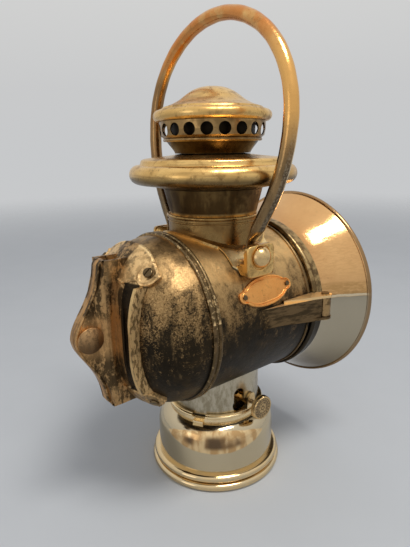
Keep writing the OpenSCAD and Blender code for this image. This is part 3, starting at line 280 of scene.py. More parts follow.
nickel.bump(nickel.noise(0.014, 2), 0.00020)
nickel.bump(scratch, 0.000008)
finishes["nickel_plate"] = nickel.close()

# %% [markdown]
# ## Brass of several ages
# Most pieces are one alloy in several states. A function makes them all: two tones in broad
# clouds, brown tarnish where the cloud is deep, fine specks, then a relief of shallow dents and
# finer grain. Numbers set how far each piece has gone. Layers, which are functions of the finish
# f, then add what only that piece has.


# %% Brass function
def brass(name, light, deep, stain, stained, rough, dent, specks, layers):
    """Brass in three tones; stained is the share of the surface under tarnish."""
    f = Finish(name)
    cloud = f.noise(0.022, 4, 0.55)
    fine = f.noise(0.0021, 5, 0.65)
    broad = f.noise(0.0085, 4, 0.6, shift=(0.3, 0.1, 0.2), warp=0.4)
    shade = f.sum(f.both(broad, 0.7), f.both(fine, 0.3))
    edge = 0.62 - 0.28 * stained
    tarnish = f.ramp(shade, edge, edge + 0.13)
    f.colour = f.mix(f.ramp(cloud, 0.35, 0.65), light, deep)
    f.lay(stain, tarnish, 0.85)
    f.lay(tuple(0.25 * v for v in deep), f.ramp(fine, 0.56, 0.66), specks)
    f.rough = f.sum(f.ramp(cloud, 0.3, 0.7, *rough), f.both(tarnish, 0.14))
    f.bump(f.noise(0.012, 3), dent)
    f.bump(fine, 0.00003)
    for layer in layers:
        layer(f)
    finishes[name] = f.close()
    print(name, "of", len(f.tree.nodes), "nodes")


# %% [markdown]
# The small fittings were handled and cleaned most, so they are bright. Dirt has stayed in the
# knob's face and round the plate's pins, and the bracket's screws are dark steel. The knob is
# found by its distance from its own axis, the rest by their heights and their places along X.


# %% Fittings
def hollows_and_painted_highlight(f):
    """Dirt in the knob's face, a painted highlight on the collar of the font, and dark pins and screws."""
    from_knob = f.radius(f.sum(f.x, -KNOB_X * MM), f.sum(f.z, -KNOB_Z * MM))
    on_knob = f.both(f.ramp(from_knob, 0.0066, 0.0062), f.ramp(f.y, -0.0364, -0.0366))
    f.lay((0.035, 0.024, 0.014), on_knob, f.ramp(f.y, -0.03722, -0.03702), 0.93)
    f.lay((0.30, 0.21, 0.12), on_knob, 0.45)
    # Painted highlight: the collar is made bright to stand in for the highlight on the bayonet ring.
    collar = f.both(f.ramp(f.z, 0.0375, 0.0380), f.ramp(f.z, 0.0450, 0.0440), f.ramp(f.y, -0.030, -0.028))
    f.lay((1.0, 0.80, 0.48), collar, 0.8)
    pins = f.both(f.ramp(f.z, 0.110, 0.111), f.ramp(f.z, 0.125, 0.124), f.ramp(f.y, -0.036, -0.037))
    screws = f.ramp(f.x, -0.050, -0.052)
    f.lay((0.060, 0.042, 0.024), f.either(pins, screws), 0.88)


brass("brass_fittings", (0.88, 0.62, 0.30), (0.70, 0.48, 0.225), (0.22, 0.14, 0.06), 0.35,
      (0.16, 0.28), 0.0001, 0.25, [hollows_and_painted_highlight])

# %% [markdown]
# The chimney is darker. Its saddle plate's edge is painted bright as painted light, and the black
# line outside it is painted shadow. Soot and painted shade darken the funnel under the brim and the
# bowl below the pierced gallery, the brim's underside is painted shade, and soot lies inside the gallery.


# %% Chimney
def saddle_edge(f):
    """The saddle plate's edge painted bright as painted light, the black line round it as painted shadow, and
    the collar's brown, partly painted shade.
    """
    grain = f.noise(0.006, 4)
    out, away = f.font_radius(), f.drum_radius()
    outside = f.ramp(out, 0.0285, 0.0292)
    bright = f.mix(grain, (0.98, 0.76, 0.40), (0.88, 0.62, 0.30))
    # Painted light: the saddle plate's lobes on the drum are lightened where they lie in shade.
    f.lay(bright, f.band(away, 0.0459, 0.0005, 0.0002), outside, f.ramp(f.z, 0.122, 0.128), 0.85)
    # Painted shadow: a black line where the saddle plate meets the drum.
    f.lay((0.045, 0.030, 0.016), f.ramp(away, 0.04585, 0.04565), outside, f.ramp(f.z, 0.120, 0.122), 0.92)
    # The collar's brown is partly tarnish and partly painted shade.
    f.lay((0.17, 0.095, 0.034), f.band(f.z, 0.1445, 0.0085, 0.0012), f.ramp(out, 0.0285, 0.0275), 0.80)


def soot_and_painted_shade(f):
    """Black on the funnel from soot and painted shade, brown rings above it, painted shade under the brim,
    black in the bowl from soot and painted shade, and soot inside the gallery.
    """
    grain = f.noise(0.006, 4)
    patchy = f.ramp(f.noise(0.006, 3, stretch=(1, 1, 0.3)), 0.25, 0.60, 0.84, 1.0)
    rings = f.noise(0.010, 4, 0.6, stretch=(0.25, 0.25, 5))
    out = f.font_radius()
    funnel = f.both(f.ramp(f.z, 0.1535, 0.1560), f.ramp(f.z, 0.1700, 0.1690), f.ramp(out, 0.0325, 0.0300))
    # Soot and painted shade: the funnel under the brim goes nearly black.
    f.lay((0.050, 0.027, 0.010), funnel, patchy, 0.97)
    f.lay((0.36, 0.205, 0.070), f.ramp(rings, 0.52, 0.66), f.ramp(f.z, 0.166, 0.170), 0.50)
    under = f.both(f.ramp(f.z, 0.1762, 0.1722), f.ramp(f.z, 0.160, 0.166), f.ramp(out, 0.028, 0.030))
    # Painted shade: the brim's underside is darkened.
    f.lay((0.115, 0.078, 0.036), under, 0.86)
    gallery = f.both(f.ramp(f.z, 0.1915, 0.1920), f.ramp(f.z, 0.2020, 0.2012))
    f.lay(f.mix(f.ramp(grain, 0.42, 0.58), (0.34, 0.210, 0.088), (0.19, 0.115, 0.048)), gallery, 0.88)
    bowl = f.both(f.band(f.z, 0.1884, 0.0030, 0.0005), f.ramp(out, 0.0262, 0.0256))
    # Soot and painted shade: the bowl below the gallery goes nearly black.
    f.lay((0.028, 0.014, 0.005), bowl, 0.97)
    wall = f.ramp(f.z, 0.1930, 0.1950, 0.0250, 0.0271)
    inside = f.both(f.ramp(f.minus(out, wall), 0.0001, -0.0001), f.ramp(f.z, 0.1922, 0.1927),
                    f.ramp(f.z, 0.2045, 0.2040))
    f.lay((0.012, 0.009, 0.006), inside, 0.98)
    f.rough = f.sum(f.rough, f.both(f.either(funnel, inside), 0.2))


brass("aged_brass", (0.95, 0.620, 0.235), (0.74, 0.455, 0.155), (0.38, 0.225, 0.080), 0.42,
      (0.21, 0.32), 0.0003, 0.32, [saddle_edge, soot_and_painted_shade])

# %% [markdown]
# ## Blackened brass
# The drum and its dome were blacked. The black holds in the lower half. Above, it has rubbed down
# to a brown-gold grain: a height, pushed up and down by clouds, drips and specks, says how far.


# %% Worn black
def rubbed_and_painted_light(f):
    """Lets brass through the black: nearly all of it above, then crisp grain and upright drips
    that grow sparse below the middle. The barrel is smoother than the dome, and its top is painted
    brighter as painted light where the brim shades it."""
    grain = f.noise(0.0008, 5, 0.78)
    flecks = f.noise(0.0019, 5, 0.75, shift=(0.3, 0.3, 0.1))
    cloud = f.noise(0.011, 4, 0.6, shift=(0.11, 0.2, 0.05), warp=0.5)
    drips = f.noise(0.0050, 4, 0.6, stretch=(1, 1, 0.2), shift=(0.7, 0.4, 0.2))
    scuffs = f.noise(0.0032, 5, 0.75, stretch=(1, 1, 0.3), shift=(0.5, 0.1, 0.7))
    barrel = f.ramp(f.x, -0.0362, -0.0345)
    speckle = f.sum(f.sum(f.both(flecks, 0.5), f.both(grain, 0.5)), -0.5)
    level = f.sum(f.z, f.both(f.sum(cloud, -0.5), 0.050))
    level = f.sum(level, f.both(f.sum(drips, -0.5), 0.055))
    level = f.sum(level, f.both(speckle, f.ramp(barrel, 0.0, 1.0, 0.17, 0.08)))
    bare = f.ramp(level, 0.098, 0.120)
    smudge = f.ramp(f.sum(f.both(drips, 0.5), f.both(cloud, 0.5)), 0.52, 0.42)
    fleck = f.ramp(flecks, 0.50, 0.57)
    worn_and_painted_light = f.mix(f.ramp(level, 0.108, 0.140), (0.180, 0.105, 0.043), (0.47, 0.295, 0.125))
    worn_and_painted_light = f.over(worn_and_painted_light, (0.52, 0.335, 0.150), f.ramp(grain, 0.47, 0.58), f.ramp(barrel, 0.0, 1.0, 0.62, 0.25))
    # Painted light: the barrel's top is brightened where the brim's shade falls on it.
    worn_and_painted_light = f.over(worn_and_painted_light, (0.84, 0.545, 0.235), barrel, f.ramp(f.z, 0.112, 0.140), 0.80)
    worn_and_painted_light = f.over(worn_and_painted_light, (0.105, 0.066, 0.030), smudge, f.ramp(barrel, 0.0, 1.0, 0.56, 0.30))
    worn_and_painted_light = f.over(worn_and_painted_light, (0.105, 0.068, 0.032), fleck, f.ramp(barrel, 0.0, 1.0, 0.38, 0.12))
    f.lay((0.21, 0.135, 0.062), f.ramp(scuffs, 0.56, 0.64), f.ramp(cloud, 0.42, 0.58), 0.50)
    f.lay(worn_and_painted_light, bare)
    f.rough = f.ramp(bare, 0.0, 1.0, 0.46, 0.41)
    f.bump(flecks, 0.00012)
    f.bump(grain, 0.00006)


# %% [markdown]
# The beads of the seam are dark with sparks, partly bare brass and partly painted highlight, more of
# them higher up. The drum's front edge is brown, and the block that carries the hinge is brushed
# level, with its top face painted bright as a painted highlight.


# %% Seam and hinge block
def seam_and_block(f):
    """Tones found by the distance from the drum's axis and the place along and across it."""
    away = f.drum_radius()
    bead = f.both(f.ramp(away, 0.04545, 0.04570), f.ramp(away, 0.0480, 0.0476), f.ramp(f.x, -0.030, -0.032))
    sparks = f.noise(0.0018, 4, 0.7, shift=(0.1, 0.5, 0.9))
    # The sparks are partly bare brass and partly painted highlight, stronger higher on the beads.
    sparkle = f.both(f.ramp(sparks, 0.54, 0.62), f.ramp(f.z, 0.08, 0.12, 0.35, 1.0))
    f.lay(f.mix(sparkle, (0.135, 0.090, 0.043), (0.70, 0.50, 0.25)), bead, 0.9)
    front = f.both(f.ramp(f.x, 0.0296, 0.0300), f.ramp(away, 0.0452, 0.0455), f.ramp(f.y, -0.0450, -0.0445))
    f.lay((0.17, 0.11, 0.05), front, 0.8)
    block = f.both(f.ramp(f.y, -0.0450, -0.0455), f.ramp(f.z, 0.0955, 0.0960), f.ramp(away, 0.0457, 0.0462))
    stroke = f.noise(0.0024, 4, 0.7, stretch=(0.2, 0.2, 1), shift=(0.2, 0.8, 0.4))
    face = f.mix(f.ramp(stroke, 0.42, 0.60), (0.18, 0.115, 0.055), (0.070, 0.046, 0.022))
    # Painted highlight: the block's top face is made bright.
    f.lay(f.mix(f.ramp(f.z, 0.10885, 0.10900), face, (0.90, 0.63, 0.31)), block)


brass("blackened_brass", (0.034, 0.025, 0.015), (0.022, 0.017, 0.011), (0.046, 0.031, 0.016), 0.5,
      (0.38, 0.5), 0.0005, 0.2, [rubbed_and_painted_light, seam_and_block])

# %% [markdown]
# ## Bracket
# The bracket behind is rough, brown with black in its hollows, and streaked on the cheeks above
# and below the bolt. File marks run upright on it, so one noise is drawn out along Z.


# %% Bracket skin
def cast_skin(f):
    """A pitted skin with upright black streaks away from the middle height, where it is brown."""
    pits = f.noise(0.0016, 5, 0.72)
    streak = f.noise(0.0042, 5, 0.72, stretch=(1, 1, 0.22), shift=(0, 0.2, 0.4))
    blotch = f.noise(0.0060, 4, 0.65, shift=(0.6, 0.2, 0.1))
    up = f.size(f.sum(f.z, -DRUM_Z * MM))
    shade = f.sum(f.sum(f.both(streak, 0.55), f.both(blotch, 0.20)), f.both(pits, 0.25))
    f.lay((0.60, 0.345, 0.140), f.ramp(up, 0.008, 0.020, 0.82, 0.40))
    f.lay((0.048, 0.032, 0.017), f.ramp(shade, 0.460, 0.530), f.ramp(up, 0.006, 0.014, 0.30, 0.90))
    f.rough = f.sum(f.rough, f.both(pits, 0.10))
    f.bump(pits, 0.00022)
    f.bump(f.noise(0.0016, 3, 0.6, stretch=(1, 1, 0.06)), 0.00016)


# %% [markdown]
# Four places on the bracket differ: the ears are rubbed light, fully on the upper ear and weakly on
# the lower one as painted light and shade, with a painted highlight along the outer edge; a painted
# shadow blacks the channel beside the socket; the rib at the flange's edge is worn, with a painted
# highlight along its inner side; and the bolt's button is worn, painted lighter above and darker below.


# %% Bracket's worn places
def bracket_wear_and_painted_light(f):
    """Ears, channel, rib and button, found by the height from the drum's axis, the distance from
    the middle plane and the distance from the axis."""
    pits = f.noise(0.0016, 5, 0.72)
    blotch = f.noise(0.0060, 4, 0.65, shift=(0.6, 0.2, 0.1))
    spread = f.noise(0.0034, 5, 0.7, shift=(0.3, 0.9, 0.2))
    scrape = f.noise(0.0016, 5, 0.7, stretch=(1, 1, 0.4))
    side, up, away = f.size(f.y), f.size(f.sum(f.z, -DRUM_Z * MM)), f.drum_radius()
    ear = f.both(f.ramp(away, 0.0272, 0.0280), f.ramp(side, 0.0060, 0.0072), f.ramp(up, 0.0240, 0.0255))
    light = f.mix(f.ramp(spread, 0.44, 0.60), (0.86, 0.585, 0.280), (0.56, 0.365, 0.165))
    light = f.over(light, (0.15, 0.098, 0.046), f.ramp(blotch, 0.54, 0.62), 0.62)
    # Painted highlight along the ear's outer edge.
    light = f.over(light, (1.0, 0.74, 0.38), f.ramp(away, 0.0430, 0.0436, 0.0, 0.8))
    # The ears' light tone is partly rubbed brass and partly painted light: full on the upper ear, weak on the
    # lower one as painted shade.
    f.lay(light, ear, f.ramp(f.z, 0.09, 0.11, 0.30, 1.0))
    beside = f.ramp(up, 0.0285, 0.0275)
    # Painted shadow: the channel beside the socket is laid near black.
    channel = f.both(f.band(side, 0.01680, 0.00435, 0.0006), beside, f.ramp(f.x, -0.040, -0.045))
    f.lay((0.014, 0.011, 0.008), channel, 0.96)
    worn_and_painted_light = f.mix(f.ramp(scrape, 0.44, 0.58), (0.64, 0.42, 0.190), (0.17, 0.108, 0.046))
    # The rib is worn brass, and its inner side is lightened further as a painted highlight.
    worn_and_painted_light = f.over(worn_and_painted_light, (0.80, 0.55, 0.25), f.ramp(side, 0.0230, 0.0227, 0.0, 0.7))
    f.lay(worn_and_painted_light, f.ramp(side, 0.02115, 0.0214), beside, 0.95)
    head = f.both(f.ramp(side, 0.0044, 0.0050), f.ramp(f.x, -0.0735, -0.0742), f.ramp(up, 0.0075, 0.0070))
    # Painted light and shade: the button is darker below and lighter above; the pits over it are dirt.
    button = f.mix(f.ramp(f.z, 0.0955, 0.1050), (0.13, 0.072, 0.034), (0.50, 0.300, 0.140))
    f.lay(f.over(button, (0.12, 0.08, 0.045), f.ramp(pits, 0.47, 0.6), 0.6), head, 0.85)


brass("bracket_brass", (0.50, 0.325, 0.150), (0.37, 0.235, 0.108), (0.19, 0.125, 0.062), 0.45,
      (0.34, 0.46), 0.0006, 0.4, [cast_skin, bracket_wear_and_painted_light])

# %% [markdown]
# ## Bell and its ring
# The bell is the part an owner kept polished. It is coppery above and nickel-grey below a level
# with a little wander, and fine level streaks of brown lie above that level. A thin bright line
# along it is a painted highlight, and the bell is darkened towards the bottom as painted shade.


# %% Bell
def two_tone(f):
    """Nickel on the lower half, brown streaks over its edge, a painted highlight along that edge, copper deep
    in the flare, painted shade towards the bottom, and a dark rim.
    """
    level = f.sum(f.z, f.both(f.sum(f.noise(0.010, 4, 0.6), -0.5), 0.0014))
    lines = f.noise(0.0022, 4, 0.65, stretch=(0.25, 1, 2.2))
    streaks = f.ramp(lines, 0.36, 0.58, 0.25, 1.0)
    f.lay((0.52, 0.295, 0.105), f.band(level, 0.1092, 0.0028, 0.0024), streaks, 0.72)
    f.lay((0.60, 0.345, 0.135), f.band(level, 0.128, 0.004, 0.014), f.ramp(lines, 0.44, 0.60), 0.30)
    # Painted highlight: a thin bright line along the nickel's edge.
    f.lay((1.0, 0.86, 0.60), f.band(level, 0.1058, 0.0005, 0.0003), 0.75)
    deep = f.both(f.ramp(f.x, 0.056, 0.041), f.ramp(level, 0.118, 0.135), f.ramp(lines, 0.30, 0.60, 0.7, 1.0))
    f.lay((0.62, 0.310, 0.115), deep, 0.62)
    f.lay(f.mix(f.noise(0.02, 3), (0.42, 0.365, 0.265), (0.48, 0.415, 0.305)), f.ramp(level, 0.1052, 0.1048))
    # Painted shade: the bell is darkened towards its bottom.
    f.lay((0.155, 0.115, 0.064), f.ramp(level, 0.080, 0.050), 0.95)
    rim = f.ramp(f.x, 0.0652, 0.0662)
    f.lay((0.30, 0.185, 0.090), rim, 0.85)
    f.rough = f.sum(f.rough, f.both(rim, 0.12))


def crusted_ring_and_painted_shade(f):
    """The ring behind the bell, olive above and nearly black below as painted shade, and its browner knuckle.
    """
    crust = f.noise(0.004, 5, 0.7, shift=(0.2, 0.1, 0.3))
    ring = f.ramp(f.x, 0.0416, 0.0411)
    olive = f.mix(f.ramp(crust, 0.40, 0.60), (0.46, 0.325, 0.150), (0.145, 0.098, 0.045))
    level = f.sum(f.z, f.both(f.sum(crust, -0.5), 0.03))
    # Painted shade: the ring's lower part goes nearly black.
    f.lay(f.over(olive, (0.030, 0.023, 0.015), f.ramp(level, 0.110, 0.098)), ring, 0.96)
    brown = f.mix(f.ramp(crust, 0.42, 0.58), (0.42, 0.265, 0.120), (0.15, 0.092, 0.040))
    f.lay(brown, f.ramp(f.y, -0.0476, -0.0482), f.ramp(f.x, 0.0416, 0.0411))
    f.rough = f.sum(f.rough, f.both(ring, 0.24))


brass("polished_brass", (0.85, 0.50, 0.215), (0.78, 0.44, 0.185), (0.55, 0.31, 0.13), 0.10,
      (0.09, 0.15), 0.00022, 0.05, [two_tone, crusted_ring_and_painted_shade])

# %% [markdown]
# ## Bail
# The bail and the core of the bracket show a redder alloy. Hands kept the bow's top bright. The near
# shoulder is painted lighter as a painted highlight, and the far leg darker as painted shade. Low on
# both legs nobody polishes, so they are grey-brown, and the near leg shows three upright bands: a
# streaked one, a pitted one and a bright edge, which is a painted highlight.


# %% Bail and core
LEG_SLOPE = 0.0612


def handled_and_painted_light(f):
    """Redder on the bow's top, a painted highlight down the near shoulder, painted shade on the far leg."""
    grain = f.noise(0.009, 4)
    wander = f.sum(f.z, f.both(f.noise(0.012, 4), 0.02))
    f.lay((0.70, 0.265, 0.070), f.ramp(wander, 0.228, 0.254), f.ramp(grain, 0.32, 0.56), 0.88)
    near = f.both(f.ramp(f.y, -0.030, -0.042), f.ramp(f.z, 0.186, 0.200), f.ramp(f.z, 0.240, 0.226))
    # Painted highlight: the near shoulder is made bright.
    f.lay((0.93, 0.510, 0.155), near, 0.78)
    # Painted shade: the far leg is made darker.
    f.lay((0.235, 0.135, 0.060), f.ramp(f.y, 0.036, 0.046), f.ramp(f.z, 0.240, 0.222), 0.80)
    f.bump(f.noise(0.0035, 4, 0.6), 0.00010)


def legs_and_core(f):
    """Grey-brown legs, the near leg's bands with a painted highlight along the front one, and the
    bracket's brown core. The bands go by how far a point is ahead of the leg's middle line, which
    leans by LEG_SLOPE from the pivot."""
    grain = f.noise(0.009, 4)
    low = f.ramp(f.sum(f.z, f.both(f.noise(0.01, 4), 0.03)), 0.212, 0.168)
    f.lay(f.mix(f.noise(0.003, 4), (0.075, 0.053, 0.032), (0.21, 0.165, 0.105)), low, 0.90)
    ahead = f.sum(f.sum(f.x, f.both(f.sum(f.z, -PIVOT_Z * MM), -LEG_SLOPE)), -PIVOT_X * MM)
    pitted = f.mix(f.ramp(f.noise(0.0011, 5, 0.75), 0.46, 0.60), (0.085, 0.062, 0.040), (0.30, 0.235, 0.155))
    streak = f.mix(f.noise(0.004, 4, 0.6, stretch=(1, 1, 0.2)), (0.075, 0.047, 0.024), (0.42, 0.265, 0.120))
    bands = f.over(streak, pitted, f.ramp(ahead, -0.0025, -0.0015))
    # Painted highlight: the bright band along the leg's front edge.
    bands = f.over(bands, (1.0, 0.78, 0.46), f.ramp(ahead, 0.0006, 0.0012))
    leg = f.both(f.ramp(f.y, -0.025, -0.032), f.ramp(f.z, 0.205, 0.178), f.ramp(f.z, 0.138, 0.144))
    f.lay(bands, leg, f.ramp(grain, 0.35, 0.60, 0.96, 0.80))
    core = f.both(f.ramp(f.x, -0.052, -0.056), f.ramp(f.z, 0.145, 0.142))
    cloud = f.ramp(f.noise(0.004, 4, 0.65, stretch=(1, 1, 0.4)), 0.42, 0.60)
    f.lay(f.mix(cloud, (0.60, 0.345, 0.145), (0.34, 0.185, 0.075)), core, 0.95)
    f.rough = f.sum(f.sum(f.rough, f.both(low, 0.08)), f.both(core, 0.12))


brass("coppery_brass", (0.84, 0.50, 0.185), (0.66, 0.335, 0.115), (0.30, 0.17, 0.065), 0.34,
      (0.15, 0.25), 0.0003, 0.3, [handled_and_painted_light, legs_and_core])

# %% [markdown]
# ## Plate copper
# The nameplate is dull copper. Its border and lines are in its mesh, and a fine stipple roughens
# the plain field inside them.


# %% Plate copper
def stippled(f):
    """Round punch marks a little under a millimetre apart, and brown in the low places."""
    marks = f.spots(0.00085)
    f.lay((0.62, 0.27, 0.080), f.ramp(f.drum_radius(), 0.04588, 0.04572), 0.30)
    f.lay((0.30, 0.13, 0.04), f.ramp(marks, 0.30, 0.12, 0.0, 0.22))
    f.bump(f.ramp(marks, 0.15, 0.45), 0.00005)


brass("copper_plate", (0.98, 0.50, 0.150), (0.86, 0.38, 0.100), (0.50, 0.225, 0.072), 0.36,
      (0.40, 0.52), 0.0001, 0.25, [stippled])

# %% [markdown]
# ## Mirror and steel
# Inside the drum is a silvered reflector, hazy with age, held by steel clips. The same steel, with
# rust in patches, makes the spring of the door's catch.

# %% Mirror and steel
mirror = Finish("silvered_mirror")
haze = mirror.noise(0.02, 4, 0.6)
mirror.bump(haze, 0.0001)
mirror.colour = mirror.mix(mirror.ramp(haze, 0.5, 0.75), (0.88, 0.87, 0.84), (0.62, 0.58, 0.50))
mirror.rough = mirror.ramp(haze, 0.4, 0.8, 0.04, 0.22)
finishes["silvered_mirror"] = mirror.close()
steel = Finish("spring_steel")
rust = steel.noise(0.003, 5, 0.65)
steel.bump(steel.noise(0.0007, 3, stretch=(0.2, 1, 1)), 0.00002)
steel.colour = steel.mix(steel.ramp(rust, 0.44, 0.60), (0.235, 0.205, 0.165), (0.125, 0.072, 0.036))
steel.rough = steel.ramp(rust, 0.5, 0.7, 0.36, 0.60)
finishes["spring_steel"] = steel.close()

# %% [markdown]
# ## Glass
# The lens is clear pressed glass, a trace green, with the slow waves that a mould leaves.

# %% Glass
glass = Finish("lens_glass", metallic=0.0, roughness=0.02)
glass.shader.inputs["Transmission Weight"].default_value = 1.0
glass.shader.inputs["IOR"].default_value = 1.5
glass.bump(glass.noise(0.012, 2), 0.00006)
glass.colour = (0.90, 0.96, 0.95)
finishes["lens_glass"] = glass.close()

# %% [markdown]
# ## Cord and wick
# The lens is bedded on a dark cord. The wick is flat woven cotton, charred at its top edge: two
# sines, one along each way of the weave, are multiplied to give its threads.

# %% Cord and wick
cord = Finish("gasket_cord", metallic=0.0, roughness=0.85)
strands = cord.noise(0.0009, 3, 0.6, stretch=(2, 1, 1))
cord.bump(strands, 0.0002)
cord.colour = cord.mix(strands, (0.035, 0.030, 0.027), (0.12, 0.10, 0.085))
finishes["gasket_cord"] = cord.close()
wick = Finish("wick_cotton", metallic=0.0, roughness=0.9)
warp_threads = wick.sum(wick.both(wick.y, 5200.0), 0.0, "SINE")
weft_threads = wick.sum(wick.both(wick.z, 4600.0), 0.0, "SINE")
weave = wick.both(warp_threads, weft_threads)
char = wick.ramp(wick.sum(wick.z, wick.both(wick.noise(0.002), 0.002)), 0.0865, 0.0895)
wick.bump(weave, 0.0001)
wick.colour = wick.mix(wick.ramp(weave, -1.0, 1.0), (0.62, 0.55, 0.42), (0.80, 0.74, 0.62))
wick.lay((0.015, 0.012, 0.010), char)
finishes["wick_cotton"] = wick.close()

# %% [markdown]
# ## Dressing the CAD pieces
# The record names a finish for every node of the CAD model, so one loop dresses them all.

# %% Give every CAD node its finish
for part in frame["record"]["subparts"]:
    carrier = frame["nodes"][part["node"]]
    carrier.data.materials.clear()
    carrier.data.materials.append(finishes[part["material_slot"]])
print("finishes:", len(finishes))

# %% [markdown]
# ## From a grid of points to a mesh
# Every new piece is a table of points: rows along a profile or a path, columns around it.
# One function joins neighbours with four-sided faces, welds seams and poles, drops the edges that
# are then left without a face, and lets Blender turn the faces outwards, which is safe because
# each piece is a closed shell.


# %% Mesh helper
def skin(name, grids, slot, body, stands_for=(), crease=38.0, ends_meet=True):
    """Joins closed grids of points, in mm, into one piece. A grid wraps down its columns, and
    from its last column to its first one if its ends meet."""
    points, faces, start = [], [], 0
    for grid in grids:
        rows, columns = grid.shape[:2]
        index = np.arange(rows * columns).reshape(rows, columns) + start
        below, beside = np.roll(index, -1, 0), np.roll(index, -1, 1)
        quads = np.stack([index, below, np.roll(below, -1, 1), beside], -1)
        points.append(grid.reshape(-1, 3) * MM)
        faces.append((quads if ends_meet else quads[:, :-1]).reshape(-1, 4))
        start += rows * columns
    mesh = bpy.data.meshes.new(name)
    mesh.from_pydata(np.concatenate(points).tolist(), [], np.concatenate(faces).tolist())
    work = bmesh.new()
    work.from_mesh(mesh)
    bmesh.ops.remove_doubles(work, verts=work.verts, dist=2e-6)
    bmesh.ops.dissolve_degenerate(work, edges=work.edges, dist=1e-7)
    bmesh.ops.delete(work, geom=[edge for edge in work.edges if not edge.link_faces], context="EDGES")
    bmesh.ops.recalc_face_normals(work, faces=work.faces)
    work.to_mesh(mesh)
    work.free()
    mesh.shade_smooth()
    mesh.set_sharp_from_angle(angle=math.radians(crease))
    piece = bpy.data.objects.new(name, mesh)
    bpy.context.scene.collection.objects.link(piece)
    piece.data.materials.append(finishes[slot])
    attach(piece, body)
    if stands_for:
        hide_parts(*stands_for)
    print(name, len(mesh.polygons), "faces")


# %% [markdown]
# ## Lines and turns
# Profiles are drawn with a few small helpers: a smooth curve through chosen points, an arc, a soft
# step and a full turn of angles. Three more tilt points, turn them about an axis across the lamp,
# and close the ends of a rod. Old spun work is never sharp, so nearly every line uses them.


# %% Line helpers
def curve_through(points, count):
    """A smooth run of count points through a few given ones (centripetal cubic through each pair)."""
    points = np.asarray(points, float)
    ghost = np.vstack([2 * points[0] - points[1], points, 2 * points[-1] - points[-2]])
    steps = np.sqrt(np.linalg.norm(np.diff(ghost, axis=0), axis=1))
    knots = np.concatenate([[0], np.cumsum(steps)])
    t = np.linspace(knots[1], knots[-2], count)
    k = np.clip(np.searchsorted(knots, t, side="right") - 1, 1, len(points) - 1)
    span = [knots[k + i] for i in (-1, 0, 1, 2)]
    p = [ghost[k + i] for i in (-1, 0, 1, 2)]

    def between(a, b, ta, tb):
        share = ((t - ta) / (tb - ta))[:, None]
        return a * (1 - share) + b * share

    a1, a2, a3 = (between(p[i], p[i + 1], span[i], span[i + 1]) for i in range(3))
    b1, b2 = between(a1, a2, span[0], span[2]), between(a2, a3, span[1], span[3])
    return between(b1, b2, span[1], span[2])


def arc(middle, radius, start, end, count):
    """Points on a circle, angles in degrees."""
    a = np.radians(np.linspace(start, end, count))
    return np.stack([middle[0] + radius * np.cos(a), middle[1] + radius * np.sin(a)], -1)


def smooth(t):
    """A soft step from 0 to 1: 3 t^2 - 2 t^3, level at both ends."""
    t = np.clip(t, 0, 1)
    return t * t * (3 - 2 * t)


def full_turn(count):
    """One row of count angles round a full turn."""
    return np.linspace(0, 2 * np.pi, count, endpoint=False)[None, :]


def tilted(x, up, degrees):
    """Turns two coordinates: x cos - up sin, and x sin + up cos."""
    c, s = math.cos(math.radians(degrees)), math.sin(math.radians(degrees))
    return x * c - up * s, x * s + up * c


def about_y(r, y, b, x, z):
    """Points at the radius r and the angle b about an axis across the lamp, through x and z."""
    return np.stack([x + r * np.cos(b), y + 0 * b, z + r * np.sin(b)], -1)


def capped(grid):
    """Closes a table of rings: before the first and after the last comes that ring's middle."""
    first, last = (grid[row].mean(1, keepdims=True) + 0 * grid[row] for row in (slice(0, 1), slice(-1, None)))
    return np.concatenate([first, grid, last])


# %% [markdown]
# ## Turned shells
# A metal spinner pressed these shells over a wooden form on a lathe, so each is a profile swept
# round an axis. The font, chimney and cap turn round the upright axis, the dome and the bell
# round the drum's. Old spun brass isn't quite true, so a small ripple can be added round it.


# %% Turning helper
def turned(profile, about_drum=False, columns=160, ripple=None):
    """Sweeps a closed profile of [radius, height] round its axis. The point at angle a is
    (r cos a, r sin a, h) upright, or (h, r sin a, DRUM_Z + r cos a) about the drum's axis.
    ripple(a, r, h) returns changes of radius and height."""
    a = full_turn(columns)
    r = np.asarray(profile)[:, :1] + 0 * a
    h = np.asarray(profile)[:, 1:2] + 0 * a
    if ripple:
        dr, dh = ripple(a + 0 * r, r, h)
        r, h = r + dr, h + dh
    if about_drum:
        return np.stack([h, r * np.sin(a), DRUM_Z + r * np.cos(a)], -1)
    return np.stack([r * np.cos(a), r * np.sin(a), h], -1)


def shell(outer, inner):
    """A closed wall from an outer line and the inner line that runs beside it."""
    return np.vstack([outer, inner[::-1]])


# %% [markdown]
# ## Font
# The font's shoulder is a flattened quarter circle: its two shares are powers of the cosine
# and the sine of the same angle, which keeps the wall upright at one end and level at the other.


# %% Font
FONT_R, FONT_T, FONT_BASE, FONT_WALL_H = 35.5, 1.0, 1.2, 24.0
SHOULDER_H, SHOULDER_POWER, NECK_SEAT_R, BURNER_HOLE_R = 14.5, 2.4, 18.0, 13.0


def font_line(inward):
    """The font's outline, moved inward. On the shoulder the radius falls and the height rises by
    (cos a) and (sin a) to the power 2 / SHOULDER_POWER."""
    a = np.radians(np.linspace(0, 90, 48))
    radius, rise = FONT_R - inward, SHOULDER_H - inward
    fall = np.maximum(np.cos(a), 0) ** (2 / SHOULDER_POWER)
    shoulder = np.stack([NECK_SEAT_R + (radius - NECK_SEAT_R) * fall,
                         FONT_WALL_H + rise * np.sin(a) ** (2 / SHOULDER_POWER)], -1)
    return np.vstack([[[radius, FONT_BASE]], shoulder, [[BURNER_HOLE_R, FONT_WALL_H + rise]]])


font_wall = shell(font_line(0.0), font_line(FONT_T))
skin("font_body", [turned(font_wall)], "nickel_plate", "font", ["font_shell"])

